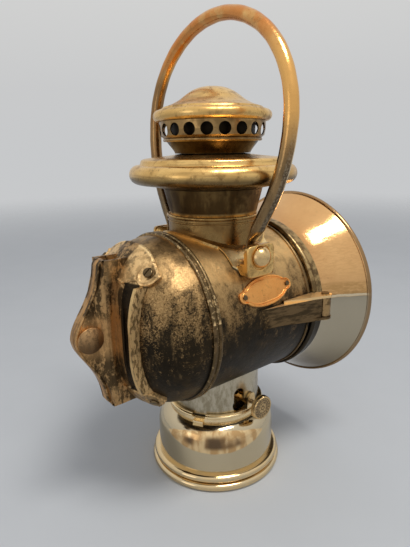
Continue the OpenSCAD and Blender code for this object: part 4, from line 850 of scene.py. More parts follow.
# %% [markdown]
# ## Rear dome
# The dome behind the drum follows one rule as well: with s from the seam to the flat end, its
# radius is the pole's radius plus the rest times (1 - s^p)^(1/p), with p a little over 2. Solved
# for the place along the axis instead, the same rule later seats the bracket on the dome.


# %% Rear dome
DOME_L, DOME_CUT, DOME_POWER, POLE_R, SEAM_LAP = 29.7, 1.2, 2.35, 10.0, 1.8


def dome_line(grow):
    """Radius and place of the dome's outline, moved out by grow."""
    depth = DOME_L + DOME_CUT + grow
    s = np.sin(np.linspace(0, np.pi / 2, 56)) * (DOME_L + grow) / depth
    radius = POLE_R + (DRUM_R - POLE_R + grow) * (1 - s ** DOME_POWER) ** (1 / DOME_POWER)
    start, end = [DRUM_R + grow, SEAM_LAP - SEAM_BACK], [0.0, -(SEAM_BACK + DOME_L + grow)]
    return np.vstack([[start], np.stack([radius, -SEAM_BACK - depth * s], -1), [end]])


def dome_back(r):
    """Place of the dome's outline along X at the radius r."""
    share = np.clip((r - POLE_R) / (DRUM_R - POLE_R), 0, 0.9999)
    return -SEAM_BACK - (DOME_L + DOME_CUT) * (1 - share ** DOME_POWER) ** (1 / DOME_POWER)


def dome_dents(a, r, h):
    """Two shallow hollows, each a bell of the angle and of the place along the axis."""
    hollow = 0.35 * np.exp(-((a - 4.4) / 0.35) ** 2 - ((h + 52) / 7) ** 2)
    hollow += 0.25 * np.exp(-((a - 5.6) / 0.25) ** 2 - ((h + 44) / 5) ** 2)
    return -hollow * (h < -38), 0 * h


dome_wall = shell(dome_line(0.0), dome_line(-DRUM_T))
skin("drum_dome", [turned(dome_wall, True, 192, dome_dents)], "blackened_brass", "lamp_body", ["rear_dome"])

# %% [markdown]
# ## Bell
# The bell starts as a straight sleeve and opens by a power of the way along, so it leaves the
# sleeve softly and is steepest at the mouth.

# %% Bell
BELL_NECK_R, BELL_R, BELL_T, BELL_POWER = 46.7, 59.3, 0.8, 1.3
BELL_START, BELL_TURN, BELL_MOUTH = 37.1, 41.5, 65.7
flare = np.linspace(0, 1, 64)
bell_outer = np.stack([BELL_NECK_R + (BELL_R - BELL_NECK_R) * flare ** BELL_POWER,
                       BELL_TURN + (BELL_MOUTH - BELL_TURN) * flare], -1)
bell_outer = np.vstack([[[BELL_NECK_R, BELL_START]], bell_outer])
bell_inner = bell_outer - np.array([BELL_T, 0.0])
bell_inner[1:] -= np.array([0.0, 0.25])
skin("bell_flare", [turned(shell(bell_outer, bell_inner), True, 224)], "polished_brass", "bell_door",
     ["bell_hood"])

# %% [markdown]
# ## Chimney shells
# The brim is a fat roll under a flat crown, and the cap is an ogee over a rolled bead. Both have
# had knocks, so the crown's edge wanders and the bead droops in two places. The wander is a sum
# of a few waves whose sizes and starts are drawn from a seed.


# %% Brim
FLUE_OUT = 17.1
BRIM_ROLL, BRIM_ROLL_R, BRIM_T = np.array([40.4, 175.0]), 5.0, 0.9


def knocks(seed, size):
    """A smooth wander round the circle: a few waves whose sizes and starts come from the seed."""
    rng = np.random.default_rng(seed)
    waves = [(k, rng.uniform(0.3, 1.0) / k, rng.uniform(0, 6.28)) for k in (2, 3, 5, 7, 11)]
    return lambda a: size * sum(w * np.sin(k * a + p) for k, w, p in waves)


brim_wander, cap_wander = knocks(4, 0.45), knocks(9, 0.5)


def crown_edge(a, r, h):
    """The wander acts on the crown's edge alone and dies out towards the flue and the roll."""
    share = np.exp(-((r - 37.5) / 3.0) ** 2) * (h > 179)
    return brim_wander(a) * share, 0.8 * brim_wander(a + 1.0) * share


crown = curve_through([[38.9, 181.2], [38.5, 182.3], [37.2, 183.1], [34.5, 183.5], [29.0, 184.0],
                       [FLUE_OUT, 185.5]], 40)
upper = np.vstack([arc(BRIM_ROLL, BRIM_ROLL_R, 0, 100, 22), crown])
under = np.vstack([arc(BRIM_ROLL, BRIM_ROLL_R - BRIM_T, 0, 100, 22), crown - np.array([0.2, 0.8])])
under[:, 0] = np.maximum(under[:, 0], FLUE_OUT)
skin("brim_crown", [turned(shell(upper, under), columns=200, ripple=crown_edge)], "aged_brass",
     "lamp_body", ["brim_upper"])

# %% [markdown]
# The cap's ogee is drawn through points given as shares of its radius and of its rise, because
# the photograph shows its shape better than its size. Its wall runs a little lower inside.


# %% Cap
CAP_R, CAP_FOOT, CAP_RISE, BEAD_R = 31.4, 204.6, 14.7, 2.9
OGEE = [(0.87, 0.2), (0.85, 0.27), (0.8, 0.31), (0.7, 0.38), (0.57, 0.52), (0.455, 0.7), (0.36, 0.83),
        (0.25, 0.93), (0.125, 0.985), (0.0, 1.0)]


def cap_droop(a, r, h):
    """The bead and lower slope droop and rise a little round the cap."""
    share = np.clip((r - 15) / 15, 0, 1) ** 2 * (h > 202)
    return 0.4 * cap_wander(a) * share, 0.7 * cap_wander(a + 2.0) * share


cap_points = np.array([(CAP_R * r, CAP_FOOT + CAP_RISE * h) for r, h in OGEE])
cap_line = curve_through(np.vstack([[[28.1, 207.4]], cap_points]), 70)
cap_under = curve_through(np.vstack([[[27.1, 205.6]], cap_points[2:] - np.array([0.35, 0.9])]), 60)
for side_line in (cap_line, cap_under):
    side_line[:, 0] = np.maximum(side_line[:, 0], 0.0)
cap_bead = arc((CAP_R - BEAD_R, CAP_FOOT), BEAD_R, -90, 84, 26)
cap_outer = np.vstack([[[27.1, CAP_FOOT - BEAD_R]], cap_bead, cap_line])
skin("cap_ogee", [turned(shell(cap_outer, cap_under), columns=200, ripple=cap_droop)], "aged_brass",
     "lamp_body", ["cap_dome"])

# %% [markdown]
# ## Bowl and flue mouth
# The bowl under the gallery is drawn out like a small cup, and has a rolled edge of its own.
# Through the gallery's holes the photograph shows darkness and only slivers of light, so the flue
# must open into a wide mouth there. It is a thin sooty cone that stops short of the baffle.

# %% Vent bowl
bowl_outer = curve_through([[20.4, 185.8], [20.7, 186.55], [21.9, 188.3], [23.66, 190.45], [24.8, 191.9],
                            [25.7, 192.3]], 30)
bowl_inner = curve_through([[19.6, 186.4], [19.9, 187.2], [21.1, 188.9], [22.9, 191.0], [24.0, 192.4],
                            [24.7, 193.3]], 30)
bowl_edge = arc((25.75, 192.5), 0.8, -80, 90, 10)
cup = np.vstack([[[FLUE_OUT, 185.6], [20.4, 185.6]], bowl_outer, bowl_edge, bowl_inner[::-1],
                 [[19.0, 186.45], [FLUE_OUT, 186.45]]])
skin("bowl_cup", [turned(cup, columns=144)], "aged_brass", "lamp_body", ["vent_bowl"])

mouth = curve_through([[17.9, 187.2], [19.6, 188.4], [21.8, 191.6], [22.6, 195.0], [22.9, 200.6]], 24)
mouth_wall = shell(mouth, mouth - np.array([0.6, 0.0]))
skin("flue_mouth", [turned(mouth_wall, columns=96)], "aged_brass", "lamp_body")

# %% [markdown]
# ## The bail's line
# A round rod was bent over a jig and its ends were hammered flat into eyes. Its middle line is
# arcs that meet end to end, so their centres follow from the widths and heights alone.


# %% Bail's line
BAIL_R, BAIL_H, HALF_WIDTH, LEG_Y = 3.5, 117.4, 55.2, 35.1
TOP_BEND, SIDE_BEND, FOOT_BEND = 57.5, 82.0, 5.0
TOP_HALF, SIDE_TURN, BAIL_LEAN, ROD_END_UP = 35.0, 29.0, 3.5, 1.9


def heading(a):
    """Unit steps for angles from straight up, in degrees, as [y, z]."""
    a = np.radians(a)
    return np.stack([np.sin(a), np.cos(a)], -1)


def bend(middle, radius, start, end, count):
    """Points along an arc, by angles from straight up."""
    return middle + radius * heading(np.linspace(start, end, count))


top_middle = np.array([0.0, PIVOT_Z + BAIL_H - TOP_BEND])
top_share = math.sin(math.radians(TOP_HALF))
corner_bend = (HALF_WIDTH - TOP_BEND * top_share) / (1 - top_share)
corner = top_middle + (TOP_BEND - corner_bend) * heading(TOP_HALF)
side = corner + (corner_bend - SIDE_BEND) * heading(90)
side_end = side + (SIDE_BEND + FOOT_BEND) * heading(90 + SIDE_TURN)
straight = (side_end[0] - FOOT_BEND - LEG_Y) / math.sin(math.radians(SIDE_TURN))
foot = side_end + straight * heading(180 + SIDE_TURN)
half_line = np.vstack([
    bend(top_middle, TOP_BEND, 0, TOP_HALF, 40),
    bend(corner, corner_bend, TOP_HALF, 90, 60)[1:],
    bend(side, SIDE_BEND, 90, 90 + SIDE_TURN, 50)[1:],
    bend(foot, FOOT_BEND, 270 + SIDE_TURN, 270, 20)[1:],
    [[LEG_Y, PIVOT_Z + ROD_END_UP]],
])
whole_line = np.vstack([half_line[:0:-1] * np.array([-1, 1]), half_line])
run = np.concatenate([[0], np.cumsum(np.linalg.norm(np.diff(whole_line, axis=0), axis=1))])
along = np.linspace(0, run[-1], 420)
rod_y, rod_z = (np.interp(along, run, part) for part in whole_line.T)
print("bail rod:", round(run[-1], 1), "mm long")

# %% [markdown]
# The rod's section is an ellipse: a circle on the bow, flatter and wider towards each eye, where
# the smith hammered it. Two slow waves keep it from looking drawn by a machine. The rod's ends
# are closed by their middle points, so the table's last ring meets its first without a face.


# %% Bail
EYE_DEEP, EYE_WIDE, HAMMERED_TO, HAMMERED_OVER = 1.15, 3.7, 151.2, 8.8
EYE_HOLE_R, EYE_R, EYE_HALF_T, EYE_ROUND = 1.96, 4.0, 1.2, 0.6


def rod():
    """Round the section at angle a, a point is wide sin a across and deep cos a off the line."""
    step = np.gradient(np.stack([rod_y, rod_z], -1), axis=0)
    step /= np.linalg.norm(step, axis=1)[:, None]
    flat = smooth((HAMMERED_TO - rod_z) / HAMMERED_OVER)
    uneven = 1 + 0.012 * np.sin(along * 0.21) + 0.010 * np.sin(along * 0.57 + 1.0)
    deep = (BAIL_R * uneven * (1 - flat) + EYE_DEEP * flat)[:, None] * np.cos(full_turn(40))
    wide = (BAIL_R * uneven * (1 - flat) + EYE_WIDE * flat)[:, None] * np.sin(full_turn(40))
    y, z = rod_y[:, None] + deep * step[:, 1:], rod_z[:, None] - deep * step[:, :1]
    return capped(np.stack([wide, y, z], -1))


def eye(side):
    """A flat ring with rounded edges round the rivet, at the foot of one leg."""
    out, thick = EYE_R - EYE_ROUND, EYE_HALF_T - EYE_ROUND
    ring = np.vstack([[[EYE_HOLE_R, -EYE_HALF_T]], arc((out, -thick), EYE_ROUND, -90, 0, 6),
                      arc((out, thick), EYE_ROUND, 0, 90, 6), [[EYE_HOLE_R, EYE_HALF_T]]])
    return about_y(ring[:, :1], side * LEG_Y + ring[:, 1:], full_turn(64), 0, PIVOT_Z)


def leaned(points):
    """Turns points about the pivots by the bail's lean."""
    x, up = tilted(points[..., 0], points[..., 2] - PIVOT_Z, -BAIL_LEAN)
    return np.stack([x + PIVOT_X, points[..., 1], up + PIVOT_Z], -1)


skin("bail_bow", [leaned(rod()), leaned(eye(-1)), leaned(eye(1))], "coppery_brass", "bail", ["bail"])

# %% [markdown]
# ## Lug faces
# Each leg ends under a lug with a ball-headed rivet. The lug's face is a rounded square with a
# soft frame round a shallow dish, out of which the ball stands. The frame is made as a ring
# between the dish's circle and the square, so both edges can be rounded by one short profile.


# %% Lug faces
LUG_HALF_W, LUG_HALF_H, LUG_DROP, LUG_SQUARE, DISH_R = 9.2, 8.2, 1.7, 7, 6.2
LUG_LINE = [[0.0, 42.25], [0.10, 42.62], [0.35, 42.72], [0.70, 42.72], [0.90, 42.55], [1.0, 42.0]]


def lug_frame(side):
    """A ring about the pivot. At each angle it runs from the dish's circle out to where
    |x / LUG_HALF_W|^7 + |(z + LUG_DROP) / LUG_HALF_H|^7 = 1, found by halving an interval."""
    b = full_turn(120)[0]
    low, high = np.full_like(b, 4.0), np.full_like(b, 16.0)
    for _ in range(30):
        r = (low + high) / 2
        across, up = r * np.cos(b) / LUG_HALF_W, (r * np.sin(b) + LUG_DROP) / LUG_HALF_H
        past = np.abs(across) ** LUG_SQUARE + np.abs(up) ** LUG_SQUARE > 1
        low, high = np.where(past, low, r), np.where(past, r, high)
    line = np.vstack([[[0.0, 40.3], [0.0, 41.5]], curve_through(LUG_LINE, 18), [[1.0, 41.2], [1.0, 40.3]]])
    r = DISH_R + line[:, :1] * (low - DISH_R)[None, :]
    return about_y(r, side * line[:, 1:], b, PIVOT_X, PIVOT_Z)


skin("lug_frames", [lug_frame(-1), lug_frame(1)], "aged_brass", "lamp_body")

# %% [markdown]
# ## Nameplate
# The oval plate is plain: a raised border, a thin line inside it and an empty field. It is a
# table in polar form, rings along the outline and columns round it, bent onto the drum.


# %% Nameplate's outline
PLATE_HALF_L, PLATE_HALF_H, PLATE_EAR_R, PLATE_EAR_AT = 16, 7.75, 3.1, 15.4
PLATE_FIELD, PLATE_TILT, PLATE_ROUND_BY = 0.72, 3, 67.2
BORDER_W, BORDER_H, BORDER_SLOPE, LINE_IN, LINE_H = 1.35, 0.42, 0.35, 2.2, 0.24


def plate_reach(b):
    """How far the outline is from the plate's middle at angle b: the farther of the ellipse and
    a round ear on each side."""
    oval = 1 / np.sqrt((np.cos(b) / PLATE_HALF_L) ** 2 + (np.sin(b) / PLATE_HALF_H) ** 2)
    room = PLATE_EAR_R ** 2 - (PLATE_EAR_AT * np.sin(b)) ** 2
    ear = np.where(room > 0, PLATE_EAR_AT * np.abs(np.cos(b)) + np.sqrt(np.maximum(room, 0)), 0)
    return np.maximum(oval, ear)


def on_drum(across, along_y, lift):
    """Bends plate coordinates onto the drum's near side, PLATE_ROUND_BY degrees from its top."""
    x, y = tilted(across, along_y, PLATE_TILT)
    out = np.sqrt((DRUM_R + lift) ** 2 - y ** 2)
    c, s = math.cos(math.radians(PLATE_ROUND_BY)), math.sin(math.radians(PLATE_ROUND_BY))
    return np.stack([x, -s * out + c * y, DRUM_Z + c * out + s * y], -1)


# %% [markdown]
# The relief depends only on the distance in from the outline: a flat border with steep sides, then
# a bell-shaped line, then the field. The first two rows are the plate's back, and the last one
# is the middle of its field.

# %% Nameplate
around = full_turn(288)
reach_out = plate_reach(around)
inset = np.concatenate([np.linspace(0, 3.2, 46), [4.0, 5.0, 6.0, 7.0]])[:, None]
border = BORDER_H * np.clip(np.minimum(inset, BORDER_W - inset) / BORDER_SLOPE, 0, 1)
inner_line = LINE_H * np.exp(-((inset - LINE_IN) / 0.26) ** 2)
place = np.maximum(reach_out - inset, 0)
relief = PLATE_FIELD + border + inner_line + 0 * place
back, wall_top = 0.02 + 0 * around, 0.5 + 0 * around
plate_rows = np.concatenate([0 * around, reach_out, reach_out, place, 0 * around])
plate_lift = np.concatenate([back, back, wall_top, relief, PLATE_FIELD + 0 * around])
plate = on_drum(plate_rows * np.cos(around), plate_rows * np.sin(around), plate_lift)
skin("oval_plate", [plate], "copper_plate", "lamp_body", ["nameplate"])

# %% [markdown]
# ## Wick knob
# A small milled wheel that raises the wick. Its rim is knurled for the fingers, its face carries
# a ring of dots round a plain rosette, and dirt lies black between them. The face is a height
# over polar coordinates, as a die would strike it.


# %% Wick knob
KNOB_RIBS, KNOB_DOTS, DOT_RING_R, DOT_R, LINE_RING_R, FACE_OUT = 54, 18, 4.95, 0.42, 3.75, 37.0
KNOB_RIM = [[1.25, 32.0], [2.6, 32.0], [2.6, 33.6], [3.0, 34.0], [6.2, 34.0], [6.75, 34.25], [6.8, 34.6],
            [6.8, 36.6], [6.7, 36.95], [6.45, 37.22], [6.0, 37.30], [5.75, 37.15], [5.65, FACE_OUT]]


def knob_relief(r, b):
    """Height of the face in mm: a ring of dots, a thin line inside it, eight petals, a boss."""
    turn = np.mod(b * KNOB_DOTS / (2 * np.pi) + 0.5, 1) - 0.5
    from_dot = turn * 2 * np.pi / KNOB_DOTS * r
    dots = DOT_R * np.exp(-((r - DOT_RING_R) / DOT_R) ** 2 - (from_dot / DOT_R) ** 2)
    line = 0.26 * np.exp(-((r - LINE_RING_R) / 0.20) ** 2)
    petals = 0.36 * np.abs(np.cos(4 * b)) ** 0.8 * np.exp(-((r - 2.1) / 0.85) ** 4)
    boss = 0.40 * np.exp(-(r / 0.62) ** 4)
    return dots + line + petals + boss


b = full_turn(360)
knob_line = np.vstack([KNOB_RIM, np.stack([np.linspace(5.6, 0.0, 64), np.full(64, FACE_OUT)], -1)])
r, out = knob_line[:, :1] + 0 * b, knob_line[:, 1:] + 0 * b
knurl = 0.13 * np.cos(KNOB_RIBS * b) * np.clip((r - 6.3) / 0.3, 0, 1)
out[len(KNOB_RIM):] += knob_relief(r[len(KNOB_RIM):], b)
knob = about_y(r + knurl, -out, b, KNOB_X, KNOB_Z)
skin("milled_knob", [knob], "brass_fittings", "wick_knob", ["wick_knob"], 50.0)

# %% [markdown]
# ## Ear screws
# Four slotted screws hold the bracket to the dome. Each is turned on its own axis, leaned by the
# slope of the sheet under it, and then carried round the drum's axis to its ear.


# %% Ear screws
SCREW_R, SCREW_BACK, SCREW_LEAN, SCREW_TURN, SLOT_HALF, SLOT_DEEP = 38.1, -56.1, 35.0, 34.0, 0.52, 0.6
SCREW_LINE = [[0, 0.2], [1.3, 0.2], [1.3, 2.5], [2.3, 2.5], [2.4, 2.6], [2.4, 3.2], [2.3, 3.45], [2.1, 3.6]]


def ear_screw(turn_deg, slot_deg):
    """A head with a domed top and a slot, on a shank, moved to its ear."""
    b = full_turn(72)
    top = np.linspace(2.0, 0.0, 14)
    line = np.vstack([SCREW_LINE, np.stack([top, 3.65 + 0.18 * (1 - (top / 2.1) ** 2)], -1)])
    r, up = line[:, :1] + 0 * b, line[:, 1:] + 0 * b
    from_slot = np.abs(r * np.sin(b - math.radians(slot_deg)))
    up = up - SLOT_DEEP * (up > 3.4) * np.clip((SLOT_HALF - from_slot) / 0.16, 0, 1)
    x, up = tilted(r * np.cos(b), up, SCREW_LEAN)
    y, up = tilted(r * np.sin(b), up + SCREW_R, turn_deg)
    return np.stack([x + SCREW_BACK, y, DRUM_Z + up], -1)


screws = [ear_screw(SCREW_TURN, 20), ear_screw(-SCREW_TURN, 75), ear_screw(180 + SCREW_TURN, 130),
          ear_screw(180 - SCREW_TURN, 50)]
skin("slotted_screws", screws, "brass_fittings", "lamp_body", ["ear_screws"])

# %% [markdown]
# ## Fin of the bracket
# Two pressed cheeks clasp a copper core and end in one fin. Its back edge follows one curve, a
# bell of the height with a straight taper, and its corners are rounded. The rows of heights lie
# closer together near both ends, so that the corners stay round.


# %% Fin's edge
FIN_HALF_H, FIN_SPREAD, FIN_ROUND, FIN_TOP_BACK, FIN_BULGE = 38, 18, 3.2, -73.0, 14.6


def fin_edge(h):
    """Place of the fin's back edge at the height h over the drum's axis, with rounded corners."""
    bulge = 0.82 * np.exp(-(h / FIN_SPREAD) ** 2) + 0.18 * (1 - np.abs(h) / FIN_HALF_H)
    past = np.clip((np.abs(h) - (FIN_HALF_H - FIN_ROUND)) / FIN_ROUND, 0, 1)
    return FIN_TOP_BACK - FIN_BULGE * bulge + FIN_ROUND * (1 - np.sqrt(np.maximum(1 - past ** 2, 0)))


near_end = 6 * np.linspace(0, 1, 30) ** 2
between_ends = np.linspace(-32, 32, 90)[1:-1]
heights = np.concatenate([-FIN_HALF_H + near_end, between_ends, FIN_HALF_H - near_end[::-1]])
back_edge = fin_edge(heights)
print("fin:", len(heights), "heights")

# %% [markdown]
# ## Cheeks
# Seen from above a cheek lies flat on the core, swells round the socket in a soft step and turns
# out on the dome in a flange. The table has one row for each step along that line, with the
# place of the dome and of the fin's edge worked out for all heights at once.


# %% Cheeks
LIP_ROUND, LIP_RISE, LIP_OUT, FLAT_OUT, CORE_HALF = 0.6, 0.75, 3.6, 3.4, 1.65
SWELL_FROM, SWELL_TO, SWELL_STEP, SWELL_OUT = -76.2, -71.4, 4.6, 6.3
SOCKET_BACK, SOCKET_HALF = -71.9, 4.6
FLANGE_FROM, FLANGE_OUT, FLANGE_T = 8.2, 13.5, 1.5


def on_back(y):
    """Place of the dome at y beside the middle plane, for all heights."""
    return dome_back(np.hypot(y, heights))


def table(rows):
    """Stacks rows of [x, y] into one table, each spread over all heights."""
    return np.stack([np.stack([x + 0 * heights, y + 0 * heights], -1) for x, y in rows])


def cheek_outside():
    """Rounded lip, flat, swell, the socket's side and the flange, from the back edge forward."""
    rows = []
    for t in np.radians(np.linspace(0, 90, 7)):
        x = back_edge + LIP_ROUND * (1 - math.cos(t))
        rows.append((x, LIP_OUT - LIP_RISE * (1 - math.sin(t))))
    for t in np.linspace(0.15, 1, 8):
        rows.append((back_edge + LIP_ROUND + 0.9 * t, LIP_OUT - (LIP_OUT - FLAT_OUT) * smooth(t)))
    start = np.maximum(back_edge + 2.0, SWELL_FROM)
    for t in np.linspace(0, 1, 22):
        x = np.minimum(start + (SWELL_TO - start) * t, SWELL_TO)
        rows.append((x, FLAT_OUT + (SWELL_OUT - FLAT_OUT) * smooth((x - SWELL_FROM) / SWELL_STEP)))
    foot = on_back(8.0) - FLANGE_T
    for t in np.linspace(0.1, 1, 12):
        x = SWELL_TO + (foot + 1.4 - SWELL_TO) * t - 0.9 * t
        rows.append((x, SWELL_OUT + 0.15 * math.sin(6.28 * t)))
    for t in np.linspace(0, 1, 8)[1:]:
        y = SWELL_OUT + (FLANGE_FROM - SWELL_OUT) * smooth(t)
        rows.append((foot - 0.2 + (on_back(y) - FLANGE_T - foot + 0.2) * t, y))
    rows += [(on_back(y) - FLANGE_T, y) for y in np.linspace(8.6, 13.2, 8)]
    return table(rows + [(on_back(FLANGE_OUT) - 1.1, FLANGE_OUT)])


def cheek_inside():
    """Along the core, out round the socket, and along the dome under the flange."""
    rows = []
    for t in np.linspace(0, 1, 37):
        x = back_edge + 0.1 + (SOCKET_BACK - back_edge - 0.1) * t
        rows.append((x, CORE_HALF + (SOCKET_HALF - CORE_HALF) * smooth((t - 0.8) / 0.2)))
    for t in np.linspace(0, 1, 13)[1:]:
        rows.append((SOCKET_BACK + (on_back(SOCKET_HALF) + 0.2 - SOCKET_BACK) * t, SOCKET_HALF))
    return table(rows + [(on_back(y) + 0.2, y) for y in np.linspace(SOCKET_HALF, 13.45, 17)[1:]])


def cheek(side):
    """Outside and inside as one ring of rows, whose columns end in a line between the two."""
    outer, inner = cheek_outside(), cheek_inside()
    tip = (outer + inner) / 2
    section, closed = shell(outer, inner), shell(tip, tip)
    section = np.concatenate([closed[:, :1], section, closed[:, -1:]], 1)
    up = np.concatenate([heights[:1], heights, heights[-1:]]) + 0 * section[..., 0]
    return np.stack([section[..., 0], side * section[..., 1], DRUM_Z + up], -1)


skin("cheek_shells", [cheek(-1), cheek(1)], "bracket_brass", "lamp_body", ["cheek_near", "cheek_far"],
     ends_meet=False)

# %% [markdown]
# ## Core of the fin
# Between the cheeks a copper strip shows as a thin red line. It is a plain strip with its back
# corners broken, and follows the same edge as the cheeks do.

# %% Core
STRIP_HALF, STRIP_FRONT = 1.6, -73.9
strip_front = np.maximum(STRIP_FRONT, back_edge + 0.4)
strip = table([(back_edge + 0.05, -STRIP_HALF), (back_edge - 0.1, -1.2), (back_edge - 0.1, 1.2),
               (back_edge + 0.05, STRIP_HALF), (strip_front, STRIP_HALF), (strip_front, -STRIP_HALF)])
core = np.concatenate([strip, DRUM_Z + heights[:, None] + 0 * strip[..., :1]], -1)
core = capped(core.swapaxes(0, 1)).swapaxes(0, 1)
skin("copper_core", [core], "coppery_brass", "lamp_body", ["fin_core"], 30.0, ends_meet=False)

# %% [markdown]
# ## Clamp button
# The bolt that pinches the bracket has a broad low button for a head: a short wall, a rounded
# edge and a shallow dome, as a rivet set leaves it. Behind it the shank runs through the nut.

# %% Clamp button
BUTTON_X, BUTTON_R, BUTTON_DOME_R, BUTTON_RISE, SHANK_R = -80.2, 6.65, 6.1, 1.65, 2.5
across = np.linspace(BUTTON_DOME_R, 0.0, 40)
button_dome = np.stack([across, 5.15 + BUTTON_RISE * (1 - (across / BUTTON_DOME_R) ** 2)], -1)
button_wall = [[0, -6.8], [2.2, -6.8], [SHANK_R, -6.5], [SHANK_R, 3.42], [6.55, 3.42], [BUTTON_R, 3.55],
               [BUTTON_R, 4.55]]
button_line = np.vstack([button_wall, arc((BUTTON_R - 0.5, 4.65), 0.5, 0, 85, 8), button_dome])
button = about_y(button_line[:, :1], -button_line[:, 1:], full_turn(120), BUTTON_X, DRUM_Z)
skin("clamp_button", [button], "bracket_brass", "lamp_body", ["clamp_bolt"])

# %% [markdown]
# ## Bracket ears
# Above and below, the bracket spreads over the dome in a broad ear with a screw at each corner.
# An ear is a sheet laid on the dome, bounded by an arc outside and a line with a notch inside, and
# rounded at its corners. Its edge is a thin bead, and each screw sits in a round raised boss.


# %% Ear's outline
EAR_SPAN, CORNER_FROM, CORNER_AT, CORNER_R = 42.3, 35, 38.2, 4.9
EAR_IN, NOTCH, NOTCH_FROM, NOTCH_OVER = 27.8, 5.5, 21, 12
EAR_OUT, DROOP, DROOP_FROM, DROOP_OVER = 42.2, 1.5, 16, 24


def ear_edges(t):
    """Inner and outer radius at t degrees from the ear's middle. Past CORNER_FROM both are one
    circle about the screw's corner. Before that the inner one steps out by the notch, and the
    outer one droops softly towards the corner."""
    size = np.abs(t)
    off = np.radians(np.maximum(size - CORNER_FROM, 0))
    half = np.sqrt(np.maximum(CORNER_R ** 2 - (CORNER_AT * np.sin(off)) ** 2, 0))
    middle = CORNER_AT * np.cos(off)
    notched = EAR_IN + NOTCH * smooth((size - NOTCH_FROM) / NOTCH_OVER)
    inner = np.where(size > CORNER_FROM, middle - half, notched)
    outer = middle + np.where(size > CORNER_FROM, half, 9.0)
    return inner, np.minimum(outer, EAR_OUT - DROOP * smooth((size - DROOP_FROM) / DROOP_OVER))


def on_dome(radius, lift):
    """Place [x, radius] on the dome's outline at a given radius, moved out along its normal."""
    slope = (dome_back(radius + 0.05) - dome_back(radius - 0.05)) / 0.1
    size = np.sqrt(1 + slope ** 2)
    return dome_back(radius) - lift / size, radius + lift * slope / size


# %% [markdown]
# The ear's relief adds up from distances: a bead close to the edge, and round each screw a ring on
# a low disc. The first and last rows go down into the dome, so that no gap shows under the edge.


# %% Bracket ears
EAR_LIFT, EDGE_LIFT, UNDER_LIFT, BOSS_R = 1.90, 1.3, -0.6, 3.5


def ear(up):
    """A table of angles along the ear and steps across it. up is 1 or -1, for above or below."""
    t = EAR_SPAN * np.sin(np.radians(np.linspace(-90, 90, 260)))
    inner, outer = ear_edges(t)
    steps = np.concatenate([[0.0, 0.0], np.linspace(0, 1, 60), [1.0, 1.0]])[:, None]
    r = inner + (outer - inner) * steps
    edge = np.minimum(r - inner, outer - r)
    a = np.radians(t)[None, :] + 0 * r
    turn = np.cos(np.abs(a) - np.radians(SCREW_TURN))
    from_screw = np.sqrt(r ** 2 + SCREW_R ** 2 - 2 * r * SCREW_R * turn)
    lift = EAR_LIFT + 0.50 * np.exp(-((edge - 0.55) / 0.42) ** 2) - 0.25 * np.exp(-(edge / 0.22) ** 2)
    lift += 0.75 * np.exp(-((from_screw - BOSS_R) / 0.62) ** 2) + 0.25 * np.clip(3.6 - from_screw, 0, 1)
    lift[[0, -1]], lift[[1, -2]] = UNDER_LIFT, EDGE_LIFT
    x, r = on_dome(r, lift)
    grid = np.stack([x, up * r * np.sin(a), DRUM_Z + up * r * np.cos(a)], -1)
    grid[:, 0], grid[:, -1] = grid[:, 0].mean(0), grid[:, -1].mean(0)
    return grid


skin("ear_lobes", [ear(1), ear(-1)], "bracket_brass", "lamp_body", ends_meet=False)

# %% [markdown]
# ## Studio
# A plain pale floor that fades into a pale surround, so the metal has something quiet to show.
# The floor lies a hair under the foot, and stays a real diffuse surface, so it keeps the shadow.

# %% Floor
FLOOR_HALF, FLOOR_Z = 6.0, -0.00005
corners = [(x * FLOOR_HALF, y * FLOOR_HALF, FLOOR_Z) for x, y in ((-1, -1), (1, -1), (1, 1), (-1, 1))]
floor_mesh = bpy.data.meshes.new("floor")
floor_mesh.from_pydata(corners, [], [(0, 1, 2, 3)])
floor = bpy.data.objects.new("floor", floor_mesh)
bpy.context.scene.collection.objects.link(floor)
paper = Finish("floor_paper", metallic=0.0, roughness=0.9)
paper.shader.inputs["Specular IOR Level"].default_value = 0.1
paper.colour = paper.mix(paper.noise(0.05, 4), (0.61, 0.64, 0.67), (0.65, 0.68, 0.71))
floor_mesh.materials.append(paper.close())
clear = paper.node("ShaderNodeBsdfTransparent").outputs[0]
far = paper.ramp(paper.font_radius(), 0.5, 1.9)
fade = paper.node("ShaderNodeMixShader", {0: far, 1: paper.shader.outputs[0], 2: clear})
paper.feed(paper.output.inputs[0], fade.outputs[0])
print("floor:", 2 * FLOOR_HALF, "m wide")

# %% [markdown]
# The surround is brighter above than at the horizon, as a room with a pale ceiling is. The
# camera, the metal's reflections and the glass see those tones. The floor and other dull surfaces
# are lit by one even and darker grey instead, so the lamp keeps its shadow.

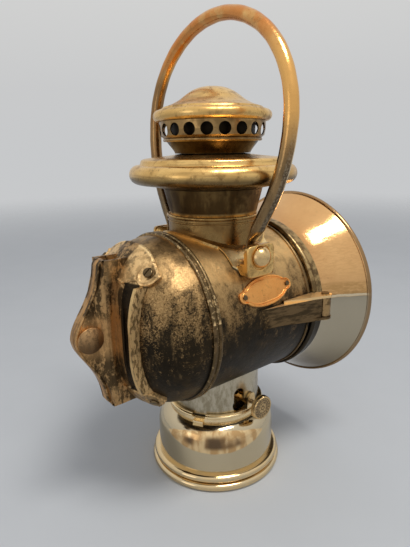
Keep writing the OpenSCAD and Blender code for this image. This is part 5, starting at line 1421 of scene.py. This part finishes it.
# %% Surround
TONES = [(0.0, (0.57, 0.58, 0.59)), (0.12, (0.58, 0.585, 0.59)), (0.35, (0.66, 0.66, 0.65)),
         (0.60, (0.75, 0.75, 0.74)), (1.0, (0.84, 0.84, 0.83))]
world = bpy.data.worlds.new("studio")
bpy.context.scene.world = world
world.use_nodes = True
sky = Tree(world.node_tree)
way = sky.node("ShaderNodeTexCoord").outputs["Generated"]
height = sky.node("ShaderNodeSeparateXYZ", {0: way}).outputs[2]
shade = sky.node("ShaderNodeValToRGB", {0: height})
stops = shade.color_ramp.elements
stops[0].color, stops[1].color = (*TONES[0][1], 1.0), (*TONES[-1][1], 1.0)
for at, tone in TONES[1:-1]:
    stops.new(at).color = (*tone, 1.0)
seen = sky.node("ShaderNodeBackground", {0: shade.outputs[0]}).outputs[0]
even = sky.node("ShaderNodeBackground", {0: (0.42, 0.42, 0.43)}).outputs[0]
ray = sky.node("ShaderNodeLightPath").outputs
direct = sky.most(sky.most(ray["Is Camera Ray"], ray["Is Glossy Ray"]), ray["Is Transmission Ray"])
choose = sky.node("ShaderNodeMixShader", {0: direct, 1: even, 2: seen}).outputs[0]
sky.node("ShaderNodeOutputWorld", {0: choose})
print("surround:", len(TONES), "tones")

# %% [markdown]
# ## Lamps
# One large soft lamp above draws the streak on the bell and the sheen on the dome, and a weak one
# low on the left lifts the shadows.


# %% Lamps
def softbox(name, place, aim, size, power):
    """A rectangular lamp at place that faces aim, both in metres."""
    data = bpy.data.lights.new(name, "AREA")
    data.shape = "RECTANGLE"
    data.size, data.size_y = size
    data.energy = power
    data.color = (1.0, 0.97, 0.93)
    lamp = bpy.data.objects.new(name, data)
    lamp.rotation_euler = (Vector(aim) - Vector(place)).to_track_quat("-Z", "Y").to_euler()
    lamp.location = place
    bpy.context.scene.collection.objects.link(lamp)


softbox("key_softbox", (0.0, -0.36, 1.0), (0, 0, 0.11), (0.38, 0.24), 4.6)
softbox("low_softbox", (-0.9, -0.1, 0.25), (0, 0, 0.10), (0.35, 0.45), 0.4)
